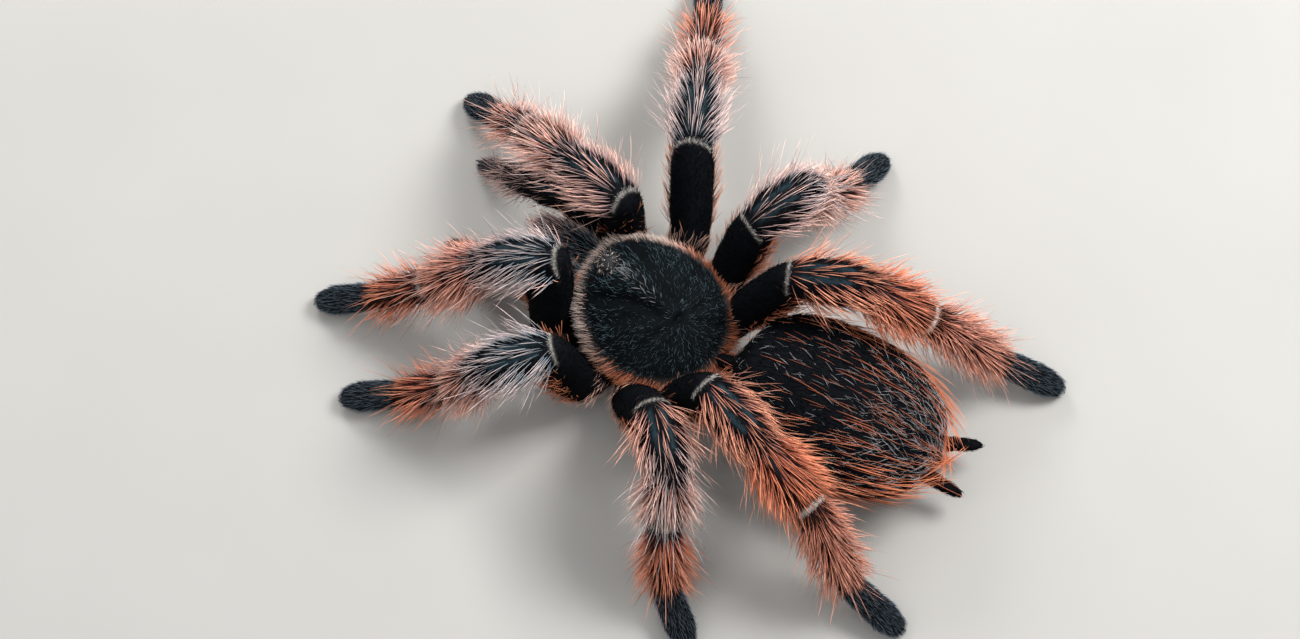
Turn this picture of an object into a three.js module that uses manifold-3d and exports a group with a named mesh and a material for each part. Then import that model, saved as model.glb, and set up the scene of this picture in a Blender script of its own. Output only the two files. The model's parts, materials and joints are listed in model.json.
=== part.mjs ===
// A life-size, still model of a Mexican pink tarantula (Brachypelma klaasi), standing at rest.
// Every solid is drawn out to the tips of its coat. Millimetres, +Z up, the floor at z = 0,
// the head towards -Y, the animal's left side towards +X.

import * as THREE from 'three';
import { mergeVertices } from 'three/addons/utils/BufferGeometryUtils.js';
import Module from 'manifold-3d';

const wasm = await Module();
wasm.setup();

// ---------------------------------------------------------------- driving dimensions
const GAP = 0.3; // clear space between two pieces that meet
const TOE_Z = 1.7; // height of the middle of a toe that rests on the floor
const SOLE_HEIGHT = 1.45; // the soft underside of a foot lies flat on the floor, up to here
const LIMB_SIDES = 10; // facets round a limb
const LIMB_RINGS = 4; // steps along one limb segment
const HIP_RINGS = 2; // steps along a hip

// Walking legs, by pair from the front. hip is where the coxa leaves the body, root is the
// joint of trochanter and femur, both for the left side. lengths: femur, patella, tibia,
// metatarsus, tarsus.
const PAIRS = {
  1: { hip: [4.9, -7.4, 5.3], root: [10.2, -12.8, 7.2], lengths: [16.8, 10.0, 13.4, 11.2, 8.4] },
  2: { hip: [6.6, -2.4, 5.1], root: [15.2, -3.8, 7.2], lengths: [15.6, 9.7, 11.7, 10.8, 8.1] },
  3: { hip: [6.6, 3.0, 5.1], root: [13.2, 4.8, 7.2], lengths: [13.8, 8.7, 10.0, 11.8, 8.1] },
  4: { hip: [4.9, 7.6, 5.3], root: [9.2, 10.4, 7.2], lengths: [17.2, 9.7, 13.3, 16.6, 9.5] },
};
// How each leg is held. heading: degrees from straight sideways, + towards the rear, for each of
// the five segments. pitch: degrees above level for the first four; the tarsus comes down to the
// floor.
const LEGS = [
  { pair: 1, side: 'left', heading: [-153, -61, -54, -60, -58], pitch: [73, -22, -39, -36] },
  { pair: 1, side: 'right', heading: [167, -80, -75, -73, -80], pitch: [83, -17, -28, -47] },
  { pair: 2, side: 'left', heading: [-48, -44, -66, -62, -55], pitch: [73, -15, -62, -33] },
  { pair: 2, side: 'right', heading: [-33, -29, -30, -31, -31], pitch: [44, -9, -34, -28] },
  { pair: 3, side: 'left', heading: [65, 50, 29, 37, 58], pitch: [59, 7, -43, -51] },
  { pair: 3, side: 'right', heading: [17, 24, 14, 4, 10], pitch: [67, 18, -66, -46] },
  { pair: 4, side: 'left', heading: [86, 76, 78, 73, 87], pitch: [67, -2, -21, -50] },
  { pair: 4, side: 'right', heading: [59, 63, 68, 69, 73], pitch: [63, 3, -33, -40] },
];
// The palps are short legs without a metatarsus.
const PALP = { hip: [2.9, -9.9, 4.2], root: [6.6, -14.4, 5.2], lengths: [10.6, 6.6, 8.0, 7.6] };
const PALPS = [
  { side: 'left', heading: [-84, -104, -90, -88], pitch: [66, -28, -62] },
  { side: 'right', heading: [-80, -100, -80, -85], pitch: [50, -15, -38] },
];
// Half-widths and half-heights of each kind of segment, coat and all, as [place along the
// segment from 0 to 1, half-width, half-height] stations.
const HIP_FORM = [[0, 3.2, 3.1], [0.5, 3.9, 3.6], [1, 3.6, 3.5]];
const FEMUR_FORM = [[0, 3.4, 3.4], [0.3, 3.8, 4.0], [0.75, 3.8, 4.0], [1, 3.3, 3.4]];
const PATELLA_FORM = [[0, 3.2, 3.3], [0.35, 4.2, 4.1], [0.75, 4.6, 4.5], [1, 4.5, 4.3]];
const TIBIA_FORM = [[0, 4.5, 4.3], [0.25, 5.0, 4.8], [0.8, 4.9, 4.6], [1, 4.3, 4.0]];
const FOOT_FORM = [
  [0, 4.3, 4.0], [0.25, 5.0, 4.6], [0.5, 4.6, 4.2], [0.62, 2.9, 2.7], [0.88, 2.8, 2.4], [1, 1.8, 1.6],
];
const PALP_SCALE = 0.68; // a palp's thickness beside a leg's
const HIP_SCALE = 0.78; // the least thickness of a hip
const PALP_FOOT_FORM = [[0, 4.3, 4.1], [0.3, 4.7, 4.4], [0.55, 4.0, 3.7], [0.85, 3.4, 3.0], [1, 2.0, 1.9]];

// Head shield: its left edge from front to rear as [x, y, rise of the edge], then heights.
const CARAPACE_EDGE = [
  [0, -13.2, 3.0], [4.2, -13.1, 2.6], [6.9, -12.2, 1.4], [9.4, -9.0, 0.1], [11.4, -4.2, -0.3],
  [12.0, 1.1, 0], [10.9, 6.4, 0.2], [8.1, 10.6, 0.3], [4.2, 12.9, 0.5], [0, 12.4, 0.8],
];
const CARAPACE_Z = 10.0; // height of the middle of its edge
const CARAPACE_TILT = 14; // degrees, nose up
const CARAPACE_RISE = 5.8; // of the top above the edge
const CAPUT_RISE = 3.6; // extra rise of the head region
const CARAPACE_UNDER = 1.2; // depth of the underside below the edge
const EYE_MOUND = { y: -10.4, width: 3.4, length: 2.6, height: 1.9 };
// Eyes of the left side on that mound: [x, y, radius] from its middle.
const EYES = [[0.55, -0.55, 0.42], [1.25, -0.5, 0.4], [1.3, 0.42, 0.34], [0.82, 0.55, 0.26]];

const STERNUM = { width: 11.4, length: 18.4, bottom: 2.7, top: 11.5, y: -0.6 };
const ABDOMEN = {
  front: [-1.3, 13.0, 10.2], rear: [-5.6, 50.9, 9.6], halfWidth: 13.9, rise: 10.6, drop: 8.6, bluntness: 3.2,
};
const PEDICEL = { from: [0, 8.2, 6.6], to: [-0.7, 15.5, 9.0], radius: 1.7 };
const CHELICERA = { from: [2.75, -11.2, 11.0], to: [2.95, -24.6, 7.8], halfWidth: 2.65, halfHeight: 4.2 };
const FANG = { base: [3.0, -23.0, 5.4], bend: [3.0, -22.6, 1.2], tip: [2.4, -16.6, 2.3], radius: 0.75 };
const SPINNERETS = {
  left: { from: [-3.4, 46.4, 5.6], to: [-4.4, 54.6, 4.6] },
  right: { from: [-8.0, 46.2, 5.6], to: [-13.2, 52.8, 4.6] },
};
const SPINNERET_FORM = [[0, 1.2, 1.2], [0.5, 1.0, 1.0], [1, 0.55, 0.55]];

// ---------------------------------------------------------------- colours
const VELVET_BLACK = { color: 0x0d1215, roughness: 0.85 };
const PINK_COAT = { color: 0xc0684a, roughness: 0.8 };
const KNEE_COAT = { color: 0x55403a, roughness: 0.8 };
const SHELL_BLACK = { color: 0x15191b, roughness: 0.5 };
const FANG_BLACK = { color: 0x0a0706, roughness: 0.25 };

// ---------------------------------------------------------------- small tools
const UP = new THREE.Vector3(0, 0, 1);
const vec = ([x, y, z]) => new THREE.Vector3(x, y, z);
const onSide = (point, side) => vec([side === 'left' ? point[0] : -point[0], point[1], point[2]]);
const lerp = THREE.MathUtils.lerp;
const rad = THREE.MathUtils.degToRad;

// Half-width and half-height at t from a list of stations, eased between them.
function formAt(stations, t) {
  let i = 1;
  while (i < stations.length - 1 && t > stations[i][0]) i += 1;
  const [t0, w0, h0] = stations[i - 1];
  const [t1, w1, h1] = stations[i];
  const k = THREE.MathUtils.smoothstep(t, t0, t1);
  return [lerp(w0, w1, k), lerp(h0, h1, k)];
}

// Moves every vertex of a closed three.js geometry by a rule, and keeps only its positions.
function reshape(geometry, place) {
  geometry.deleteAttribute('normal');
  geometry.deleteAttribute('uv');
  const welded = mergeVertices(geometry, 1e-4);
  const position = welded.attributes.position;
  const point = new THREE.Vector3();
  for (let i = 0; i < position.count; i += 1) {
    place(point.fromBufferAttribute(position, i));
    position.setXYZ(i, point.x, point.y, point.z);
  }
  return welded;
}

function toManifold(geometry) {
  return new wasm.Manifold(new wasm.Mesh({
    numProp: 3,
    vertProperties: new Float32Array(geometry.attributes.position.array),
    triVerts: new Uint32Array(geometry.index.array),
  }));
}

function fromManifold(manifold) {
  const mesh = manifold.getMesh();
  const geometry = new THREE.BufferGeometry();
  geometry.setAttribute('position', new THREE.BufferAttribute(new Float32Array(mesh.vertProperties), 3));
  geometry.setIndex(new THREE.BufferAttribute(new Uint32Array(mesh.triVerts), 1));
  return geometry;
}

// The largest body of a cut solid, without the crumbs.
function largest(manifold) {
  const bodies = manifold.decompose();
  return bodies.reduce((best, body) => (body.volume() > best.volume() ? body : best));
}

// ---------------------------------------------------------------- limbs
// The facing of the flat that parts two segments at a joint: it halves the bend between them.
function jointPlane(before, after) {
  return before.clone().add(after).normalize();
}

// A round bar between two joints whose width and height follow a form. It ends on the joints'
// planes, given by their facings, and the outer side of a bend stops just past the joint, as a
// knee does. grow swells it all round; lap lengthens its far end.
function bar(from, to, start, end, form, options = {}) {
  const { scale = 1, grow = 0, rings = LIMB_RINGS, span = [0, 1], lap = 0 } = options;
  const along = to.clone().sub(from);
  const length = along.length();
  along.normalize();
  const across = new THREE.Vector3().crossVectors(along, UP).normalize();
  const upward = new THREE.Vector3().crossVectors(across, along);
  const trim = GAP / 2 - grow;
  const place = (point) => {
    const t = point.y + 0.5;
    const [halfWidth, halfHeight] = formAt(form, lerp(span[0], span[1], t)).map((r) => r * scale + grow);
    const offset = across.clone().multiplyScalar(point.x * halfWidth);
    offset.addScaledVector(upward, point.z * halfHeight);
    const reach = 0.35 * halfWidth;
    const shift = (facing) => -offset.dot(facing) / along.dot(facing);
    const first = Math.max(shift(start), -reach) + trim;
    const last = length + Math.min(shift(end), reach) - trim + lap;
    point.copy(from).add(offset).addScaledVector(along, lerp(first, last, t));
  };
  return reshape(new THREE.CylinderGeometry(1, 1, 1, LIMB_SIDES, rings), place);
}

// A sole rests flat: what lies under this height is pressed down onto the floor.
function onFloor(geometry) {
  return reshape(geometry, (point) => {
    if (point.z < SOLE_HEIGHT) point.z = 0;
  });
}

// Joint positions of a limb from its root, its headings and its pitches.
function limbJoints({ root, lengths }, { side, heading, pitch }) {
  const joints = [onSide(root, side)];
  const sign = side === 'left' ? 1 : -1;
  lengths.forEach((length, i) => {
    const last = joints[joints.length - 1];
    const slope = i < pitch.length ? rad(pitch[i]) : Math.asin((TOE_Z - last.z) / length);
    const turn = rad(heading[i]);
    const level = length * Math.cos(slope);
    const step = vec([sign * level * Math.cos(turn), level * Math.sin(turn), length * Math.sin(slope)]);
    joints.push(last.clone().add(step));
  });
  return joints;
}

// ---------------------------------------------------------------- the head shield
const carapaceEdge = (() => {
  const left = CARAPACE_EDGE.map(vec);
  const right = left.slice(1, -1).reverse().map((p) => new THREE.Vector3(-p.x, p.y, p.z));
  return new THREE.CatmullRomCurve3([...left, ...right], true, 'centripetal');
})();

// Height of the top above the edge plane at a plan place; inward is 0 at the edge, 1 at the middle.
function domeHeight(x, y, edgeRise, rho) {
  const thorax = CARAPACE_RISE * (1 - rho ** 2.4) ** 0.75;
  const caput = CAPUT_RISE * Math.exp(-((x / 5.4) ** 2) - ((y + 8.2) / 6.2) ** 2) * (1 - rho ** 4);
  return edgeRise * rho ** 2 + thorax + caput;
}

function carapaceGeometry(grow = 0) {
  const shape = new THREE.SphereGeometry(1, 24, 12);
  const place = (point) => {
    const rho = Math.min(1, Math.hypot(point.x, point.z)) ** 0.9;
    const turn = Math.atan2(point.x, point.z) / (2 * Math.PI);
    const edge = carapaceEdge.getPoint((turn + 1) % 1);
    const swell = 1 + grow / 12;
    const x = edge.x * rho * swell;
    const y = edge.y * rho * swell;
    const under = edge.z * rho ** 2 - CARAPACE_UNDER * Math.sqrt(1 - rho * rho) - grow;
    const top = domeHeight(x / swell, y / swell, edge.z, rho) + grow;
    const rim = Math.abs(point.y) < 1e-6 ? edge.z : null;
    point.set(x, y, rim ?? (point.y > 0 ? top : under));
    point.applyAxisAngle(new THREE.Vector3(1, 0, 0), rad(-CARAPACE_TILT));
    point.z += CARAPACE_Z;
  };
  return reshape(shape, place);
}

// The eye mound on the head region, with its eight eyes joined to it.
function eyeMoundGeometry() {
  const { y, width, length, height } = EYE_MOUND;
  const tilt = new THREE.Matrix4().makeRotationX(rad(-CARAPACE_TILT));
  const crown = domeHeight(0, y, 3.0, Math.abs(y) / 13.2);
  const settle = (point) => {
    point.y += y;
    point.z += crown;
    point.applyMatrix4(tilt);
    point.z += CARAPACE_Z;
  };
  const mound = reshape(new THREE.SphereGeometry(1, 10, 6), (point) => {
    point.set((point.x * width) / 2, (-point.z * length) / 2, point.y * height * 0.6);
    settle(point);
  });
  let solid = toManifold(mound);
  for (const side of [1, -1]) {
    for (const [ex, ey, radius] of EYES) {
      const lift = 0.6 * height * Math.sqrt(Math.max(0.05, 1 - (2 * ex / width) ** 2 - (2 * ey / length) ** 2));
      const eye = reshape(new THREE.SphereGeometry(radius, 6, 4), (point) => {
        point.set(point.x + side * ex, -point.z + ey, point.y + lift - 0.1);
        settle(point);
      });
      solid = solid.add(toManifold(eye));
    }
  }
  return fromManifold(solid);
}

// ---------------------------------------------------------------- trunk pieces
function sternumGeometry(grow = 0) {
  const { width, length, bottom, top, y } = STERNUM;
  return reshape(new THREE.SphereGeometry(1, 14, 5), (point) => {
    const lift = Math.sign(point.y) * Math.abs(point.y) ** 0.7;
    point.set(
      point.x * (width / 2 + grow),
      -point.z * (length / 2 + grow) + y,
      lerp(bottom - grow, top + grow, (lift + 1) / 2),
    );
  });
}

function abdomenGeometry(grow = 0) {
  const front = vec(ABDOMEN.front);
  const along = vec(ABDOMEN.rear).sub(front);
  const length = along.length();
  along.normalize();
  const across = new THREE.Vector3().crossVectors(along, UP).normalize();
  const upward = new THREE.Vector3().crossVectors(across, along);
  return reshape(new THREE.SphereGeometry(1, 18, 11), (point) => {
    const { x, y, z } = point;
    const round = Math.sqrt(Math.max(1e-9, 1 - y * y));
    const blunt = Math.sqrt(Math.max(0, 1 - Math.abs(y) ** ABDOMEN.bluntness)); // square-shouldered in front
    const fuller = (1 + 0.04 * y) * (y < 0 ? blunt / round : 1);
    const rise = (z > 0 ? ABDOMEN.rise : ABDOMEN.drop) + grow;
    point.copy(front).addScaledVector(along, length / 2 + y * (length / 2 + grow));
    point.addScaledVector(across, x * (ABDOMEN.halfWidth + grow) * fuller);
    point.addScaledVector(upward, z * rise * fuller);
  });
}

// A bar with blunt square ends, for pieces that end in the open or inside a cut.
function plainBar(from, to, form, options) {
  const along = to.clone().sub(from).normalize();
  return bar(from, to, along, along, form, options);
}

function cheliceraGeometry(side, grow = 0) {
  const { from, to, halfWidth, halfHeight } = CHELICERA;
  const form = [[0, 0.8], [0.35, 1], [0.7, 0.98], [0.92, 0.75], [1, 0.45]];
  const stations = form.map(([t, k]) => [t, halfWidth * k, halfHeight * k]);
  return plainBar(onSide(from, side), onSide(to, side), stations, { grow, rings: 6 });
}

function fangGeometry(side) {
  const [base, bend, tip] = [FANG.base, FANG.bend, FANG.tip].map((p) => onSide(p, side));
  const curve = new THREE.QuadraticBezierCurve3(base, bend, tip);
  return reshape(new THREE.CylinderGeometry(1, 1, 1, 6, 5), (point) => {
    const t = point.y + 0.5;
    const along = curve.getTangent(t);
    const across = new THREE.Vector3().crossVectors(along, UP).normalize();
    const upward = new THREE.Vector3().crossVectors(across, along);
    const radius = lerp(FANG.radius, 0.27, t);
    const spot = curve.getPoint(t);
    spot.addScaledVector(across, point.x * radius).addScaledVector(upward, point.z * radius);
    point.copy(spot);
  });
}

// ---------------------------------------------------------------- gather the pieces
// Pieces are listed in the order in which they claim their space: each is cut clear of all that
// come before it, except those that it joins, which it meets at a joint's plane.
const pieces = [];
const addPiece = (name, finish, make, joins = []) => pieces.push({ name, finish, make, joins });

addPiece('carapace', SHELL_BLACK, carapaceGeometry);
addPiece('eye_mound', SHELL_BLACK, eyeMoundGeometry);
addPiece('sternum', VELVET_BLACK, sternumGeometry);
addPiece('abdomen', VELVET_BLACK, abdomenGeometry);
addPiece('pedicel', VELVET_BLACK, (grow = 0) => {
  const form = [[0, PEDICEL.radius, PEDICEL.radius], [1, PEDICEL.radius, PEDICEL.radius]];
  return plainBar(vec(PEDICEL.from), vec(PEDICEL.to), form, { grow, rings: 1 });
});
for (const side of ['left', 'right']) {
  addPiece(`chelicera_${side}`, VELVET_BLACK, (grow) => cheliceraGeometry(side, grow));
  addPiece(`fang_${side}`, FANG_BLACK, () => fangGeometry(side));
  const { from, to } = SPINNERETS[side];
  addPiece(`spinneret_${side}`, VELVET_BLACK, (grow) => (
    plainBar(vec(from), vec(to), SPINNERET_FORM, { grow, rings: 3 })));
}

// One limb: its hip, then its segments from joint to joint. A bent kind takes two segments, bent
// at the ankle, in one piece.
function addLimb(prefix, limb, pose, kinds, scale) {
  const joints = limbJoints(limb, pose);
  const hip = onSide(limb.hip, pose.side);
  const headings = joints.slice(1).map((joint, i) => joint.clone().sub(joints[i]).normalize());
  const hipHeading = joints[0].clone().sub(hip).normalize();
  const hipEnd = jointPlane(hipHeading, headings[0]);
  addPiece(`${prefix}_hip`, VELVET_BLACK, (grow = 0) => (
    bar(hip, joints[0], hipHeading, hipEnd, HIP_FORM, { scale: Math.max(scale, HIP_SCALE), rings: HIP_RINGS, grow })
  ));

  kinds.forEach(({ name, form, finish, bent }, i) => {
    const start = i === 0 ? hipEnd : jointPlane(headings[i - 1], headings[i]);
    const next = headings[i + 1] ?? headings[i];
    const end = jointPlane(headings[i], next);
    const make = (grow = 0) => {
      if (!bent) return onFloor(bar(joints[i], joints[i + 1], start, end, form, { scale, grow }));
      return onFloor(foot(joints.slice(i), [start, end, next], form, { scale, grow }));
    };
    addPiece(`${prefix}_${name}`, finish, make, [`${prefix}_${i === 0 ? 'hip' : kinds[i - 1].name}`]);
  });
}

// Metatarsus and tarsus in one piece: two bars that overlap a little at the ankle.
function foot([heel, ankle, toe], [start, bend, end], form, { scale, grow }) {
  const share = heel.distanceTo(ankle) / (heel.distanceTo(ankle) + ankle.distanceTo(toe));
  const shank = bar(heel, ankle, start, bend, form, { scale, grow, span: [0, share], rings: 3, lap: 3 * GAP });
  const sole = bar(ankle, toe, bend, end, form, { scale, grow, span: [share, 1], rings: 3 });
  return fromManifold(toManifold(shank).add(toManifold(sole)));
}

const LEG_KINDS = [
  { name: 'femur', form: FEMUR_FORM, finish: VELVET_BLACK },
  { name: 'patella', form: PATELLA_FORM, finish: KNEE_COAT },
  { name: 'tibia', form: TIBIA_FORM, finish: PINK_COAT },
  { name: 'foot', form: FOOT_FORM, finish: PINK_COAT, bent: true },
];
const PALP_KINDS = [
  { name: 'femur', form: FEMUR_FORM, finish: VELVET_BLACK },
  { name: 'patella', form: PATELLA_FORM, finish: KNEE_COAT },
  { name: 'foot', form: PALP_FOOT_FORM, finish: KNEE_COAT, bent: true },
];
for (const pose of LEGS) addLimb(`leg_${pose.pair}_${pose.side}`, PAIRS[pose.pair], pose, LEG_KINDS, 1);
for (const pose of PALPS) addLimb(`palp_${pose.side}`, PALP, pose, PALP_KINDS, PALP_SCALE);

// ---------------------------------------------------------------- cut, centre and hand over
const model = new THREE.Group();
const claimed = [];
for (const { name, finish, make, joins } of pieces) {
  let solid = toManifold(make());
  for (const other of claimed) {
    if (joins.includes(other.name)) continue;
    if (!solid.intersect(other.swollen).isEmpty()) solid = solid.subtract(other.swollen);
  }
  claimed.push({ name, swollen: toManifold(make(GAP)) });
  const material = new THREE.MeshStandardMaterial({ ...finish, metalness: 0 });
  const mesh = new THREE.Mesh(fromManifold(largest(solid)), material);
  mesh.name = name;
  model.add(mesh);
}

// The origin is on the floor, under the middle of the whole animal.
const box = new THREE.Box3().setFromObject(model);
const middle = box.getCenter(new THREE.Vector3());
model.position.set(-middle.x, -middle.y, -box.min.z);

const group = new THREE.Group();
group.add(model);
group.updateMatrixWorld(true);

export default group;
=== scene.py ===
# %% [markdown]
# # A tarantula at rest, life size
#
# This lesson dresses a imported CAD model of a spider. The CAD nodes give every part its place and
# its true outline, out to the tips of the hair. Here one skin takes the place of all the fleshy
# nodes, a coat of separate hairs grows from it, and the hard parts are made as fine pieces of
# their own.

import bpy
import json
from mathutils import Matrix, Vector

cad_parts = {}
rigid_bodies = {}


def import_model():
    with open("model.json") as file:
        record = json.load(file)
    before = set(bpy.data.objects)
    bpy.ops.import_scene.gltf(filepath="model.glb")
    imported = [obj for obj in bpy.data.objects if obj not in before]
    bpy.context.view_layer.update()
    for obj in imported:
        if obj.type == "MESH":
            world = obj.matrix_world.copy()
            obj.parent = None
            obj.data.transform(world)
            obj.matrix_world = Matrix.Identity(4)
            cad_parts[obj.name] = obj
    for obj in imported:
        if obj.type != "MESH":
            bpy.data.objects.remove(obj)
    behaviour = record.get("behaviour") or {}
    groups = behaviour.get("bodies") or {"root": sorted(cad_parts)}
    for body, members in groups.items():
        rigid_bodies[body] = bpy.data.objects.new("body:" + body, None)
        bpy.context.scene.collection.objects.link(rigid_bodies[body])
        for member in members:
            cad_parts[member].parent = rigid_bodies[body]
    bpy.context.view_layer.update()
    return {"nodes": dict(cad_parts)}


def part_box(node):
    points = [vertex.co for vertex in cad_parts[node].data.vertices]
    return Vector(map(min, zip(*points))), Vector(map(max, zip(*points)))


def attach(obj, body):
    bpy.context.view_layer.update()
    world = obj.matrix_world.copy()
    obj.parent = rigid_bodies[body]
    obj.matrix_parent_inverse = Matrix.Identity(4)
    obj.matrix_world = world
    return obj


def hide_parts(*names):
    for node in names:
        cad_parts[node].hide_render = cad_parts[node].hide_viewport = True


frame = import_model()
print("CAD nodes:", len(frame["nodes"]))

# %% [markdown]
# ## Tools for numbers and meshes
#
# A spider is easier to think about in millimetres, and Blender works in metres. So every size
# below is written in millimetres, and each mesh is scaled once, when it is made. Long lists of
# points are handled as numpy arrays, which is far quicker than a Python loop over vertices.

# %% Imports and units
import json
import math

import bmesh
import bpy
import numpy as np
from mathutils import Matrix, Vector

MM = 0.001
UP = np.array([0.0, 0.0, 1.0])
ROUND = 2 * math.pi  # a full turn, in radians
print("Blender", bpy.app.version_string, "and numpy", np.__version__)


# %% Small tools for numbers
def unit(vectors):
    """Vectors of length one; a zero vector stays zero."""
    return vectors / np.maximum(np.linalg.norm(vectors, axis=-1, keepdims=True), 1e-9)


def smoothstep(low, high, value):
    """0 below low, 1 above high, eased between them."""
    t = np.clip((value - low) / (high - low), 0, 1)
    return t * t * (3 - 2 * t)


def bump(value, middle, width):
    """A soft hill of height 1 about a middle."""
    return np.exp(-(((value - middle) / width) ** 2))


# %% Meshes in and out of numpy
def placed(name, data):
    """A new object in the scene."""
    made = bpy.data.objects.new(name, data)
    bpy.context.scene.collection.objects.link(made)
    return made


def new_piece(name, points, faces):
    """A mesh object from points in millimetres."""
    mesh = bpy.data.meshes.new(name)
    mesh.from_pydata((np.asarray(points) * MM).tolist(), [], faces)
    mesh.update()
    mesh.shade_smooth()
    return placed(name, mesh)


def read(items, field, width):
    """A property of all of a mesh's points or corners, as rows of so many numbers."""
    found = np.empty(len(items) * width, np.float32)
    items.foreach_get(field, found)
    return found.reshape(-1, width)


def points_of(mesh):
    """A mesh's vertices, in millimetres."""
    return read(mesh.vertices, "co", 3).astype(float) / MM


def normals_of(mesh):
    """The direction that the surface faces at each vertex."""
    return read(mesh.vertex_normals, "vector", 3).astype(float)


def counts_of(items, field):
    """A whole number for each of a mesh's corners or faces."""
    found = np.empty(len(items), np.int32)
    items.foreach_get(field, found)
    return found


def set_points(mesh, points):
    """Moves a mesh's vertices to new places, in millimetres."""
    mesh.vertices.foreach_set("co", (points * MM).astype(np.float32).ravel())
    mesh.update()


def write_attribute(mesh, name, values, kind="FLOAT", domain="POINT"):
    """Stores one number or one vector for each point or corner."""
    old = mesh.attributes.get(name)
    if old:
        mesh.attributes.remove(old)
    field = "value" if kind == "FLOAT" else "vector"
    layer = mesh.attributes.new(name, kind, domain)
    layer.data.foreach_set(field, np.ascontiguousarray(values, np.float32).ravel())


# %% Modifiers and trees made into plain meshes
def evaluated_mesh(piece):
    """The plain mesh that a piece's modifiers make. The modifiers are removed."""
    graph = bpy.context.evaluated_depsgraph_get()
    mesh = bpy.data.meshes.new_from_object(piece.evaluated_get(graph), depsgraph=graph)
    piece.modifiers.clear()
    return mesh


def applied(piece, modifiers):
    """Adds modifiers, given as (type, settings), and makes their result the piece's mesh."""
    for kind, settings in modifiers:
        modifier = piece.modifiers.new(kind.title(), kind)
        for name, value in settings.items():
            setattr(modifier, name, value)
    old, piece.data = piece.data, evaluated_mesh(piece)
    bpy.data.meshes.remove(old)
    piece.data.shade_smooth()
    return piece


def applied_tree(piece, tree, inputs):
    """The mesh that a Geometry Nodes tree makes of a piece, with its inputs given by name."""
    modifier = piece.modifiers.new("nodes", "NODES")
    modifier.node_group = tree
    sockets = {s.name: s.identifier for s in tree.interface.items_tree if s.in_out == "INPUT"}
    for name, value in inputs.items():
        modifier[sockets[name]] = value
    mesh = evaluated_mesh(piece)
    for value in inputs.values():
        if isinstance(value, bpy.types.Object):
            bpy.data.objects.remove(value)
    return mesh


# %% Copies of CAD nodes, and clean bodies
WELD_DISTANCE = 0.01
SMALLEST_BODY = 100  # in vertices


def welded_copy(node, name):
    """A copy of a CAD node with its loose triangles joined up."""
    piece = placed(name, frame["nodes"][node].data.copy())
    return applied(piece, [("WELD", {"merge_threshold": WELD_DISTANCE * MM})])


def middle_of(node):
    """The middle of a CAD node's box, in millimetres."""
    low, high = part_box(node)
    return np.array((low + high) / 2) / MM


def without_crumbs(mesh):
    """Drops the loose bits that a remesh can leave inside a body."""
    shape = bmesh.new()
    shape.from_mesh(mesh)
    left = set(shape.verts)
    while left:
        body, edge = set(), [next(iter(left))]
        while edge:
            vert = edge.pop()
            if vert in body:
                continue
            body.add(vert)
            edge += [e.other_vert(vert) for e in vert.link_edges]
        left -= body
        if len(body) < SMALLEST_BODY:
            bmesh.ops.delete(shape, geom=list(body), context="VERTS")
    shape.to_mesh(mesh)
    shape.free()


print("the shield's middle is at", middle_of("carapace").round(1))


# %% Faces for round shapes
def ring_faces(rings, sides):
    """Faces between rings of points, each ring joined to the next."""
    faces = []
    for ring in range(rings - 1):
        for side in range(sides):
            a, b = ring * sides + side, ring * sides + (side + 1) % sides
            faces.append((a, a + sides, b + sides, b))
    return faces


def closed_faces(rings, sides):
    """Ring faces with both ends closed. The two poles are the points that follow the rings."""
    faces = ring_faces(rings, sides)
    pole, last = rings * sides, (rings - 1) * sides
    for side in range(sides):
        following = (side + 1) % sides
        faces.append((pole, side, following))
        faces.append((pole + 1, last + following, last + side))
    return faces


def joined(parts):
    """One set of points and faces from several."""
    points, faces, count = [], [], 0
    for new_points, new_faces in parts:
        points.append(new_points)
        faces += [tuple(v + count for v in face) for face in new_faces]
        count += len(new_points)
    return np.concatenate(points), faces


print("faces of a closed shape of 3 rings with 4 sides:", len(closed_faces(3, 4)))


# %% [markdown]
# ## Nodes written as Python
#
# Materials and Geometry Nodes trees are both graphs of nodes joined by links. They could be drawn
# by hand in the editor, but a lesson should show what feeds what. `Value` wraps a node's output,
# so that ordinary sums and products on it add Math nodes, and `Graph.node` makes every other kind.

# %% One small wrapper for sockets
class Value:
    """An output socket that Python's +, - and * work on."""

    def __init__(self, graph, socket):
        self.graph = graph
        self.socket = socket

    def math(self, operation, *others):
        """Adds a Math node that takes this value first."""
        settings = {"operation": operation}
        return self.graph.node("ShaderNodeMath", settings, dict(enumerate((self, *others))))[0]

    def __add__(self, other):
        return self.math("ADD", other)

    def __sub__(self, other):
        return self.math("SUBTRACT", other)

    def __rsub__(self, other):
        settings = {"operation": "SUBTRACT"}
        return self.graph.node("ShaderNodeMath", settings, {0: other, 1: self})[0]

    def __mul__(self, other):
        return self.math("MULTIPLY", other)

    __radd__ = __add__
    __rmul__ = __mul__


# %% A node tree, and what its nodes give
class Graph:
    """A node tree that is built from Python."""

    def __init__(self, tree):
        self.tree = tree

    @staticmethod
    def socket(sockets, key):
        """A socket by its number, or by its name among those that the settings leave in use."""
        if isinstance(key, int):
            return sockets[key]
        return next(s for s in sockets if s.name == key and s.enabled and not s.is_unavailable)

    def node(self, kind, settings=None, sockets=None):
        """Adds a node, and returns its outputs, which are taken by name or number."""
        made = self.tree.nodes.new(kind)
        for name, value in (settings or {}).items():
            setattr(made, name, value)
        for key, value in (sockets or {}).items():
            entry = self.socket(made.inputs, key)
            if isinstance(value, Value):
                self.tree.links.new(value.socket, entry)
            else:
                entry.default_value = value
        return Outputs(self, made)


class Outputs:
    """A node's outputs as values."""

    def __init__(self, graph, made):
        self.graph = graph
        self.made = made

    def __getitem__(self, key):
        return Value(self.graph, Graph.socket(self.made.outputs, key))


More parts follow.
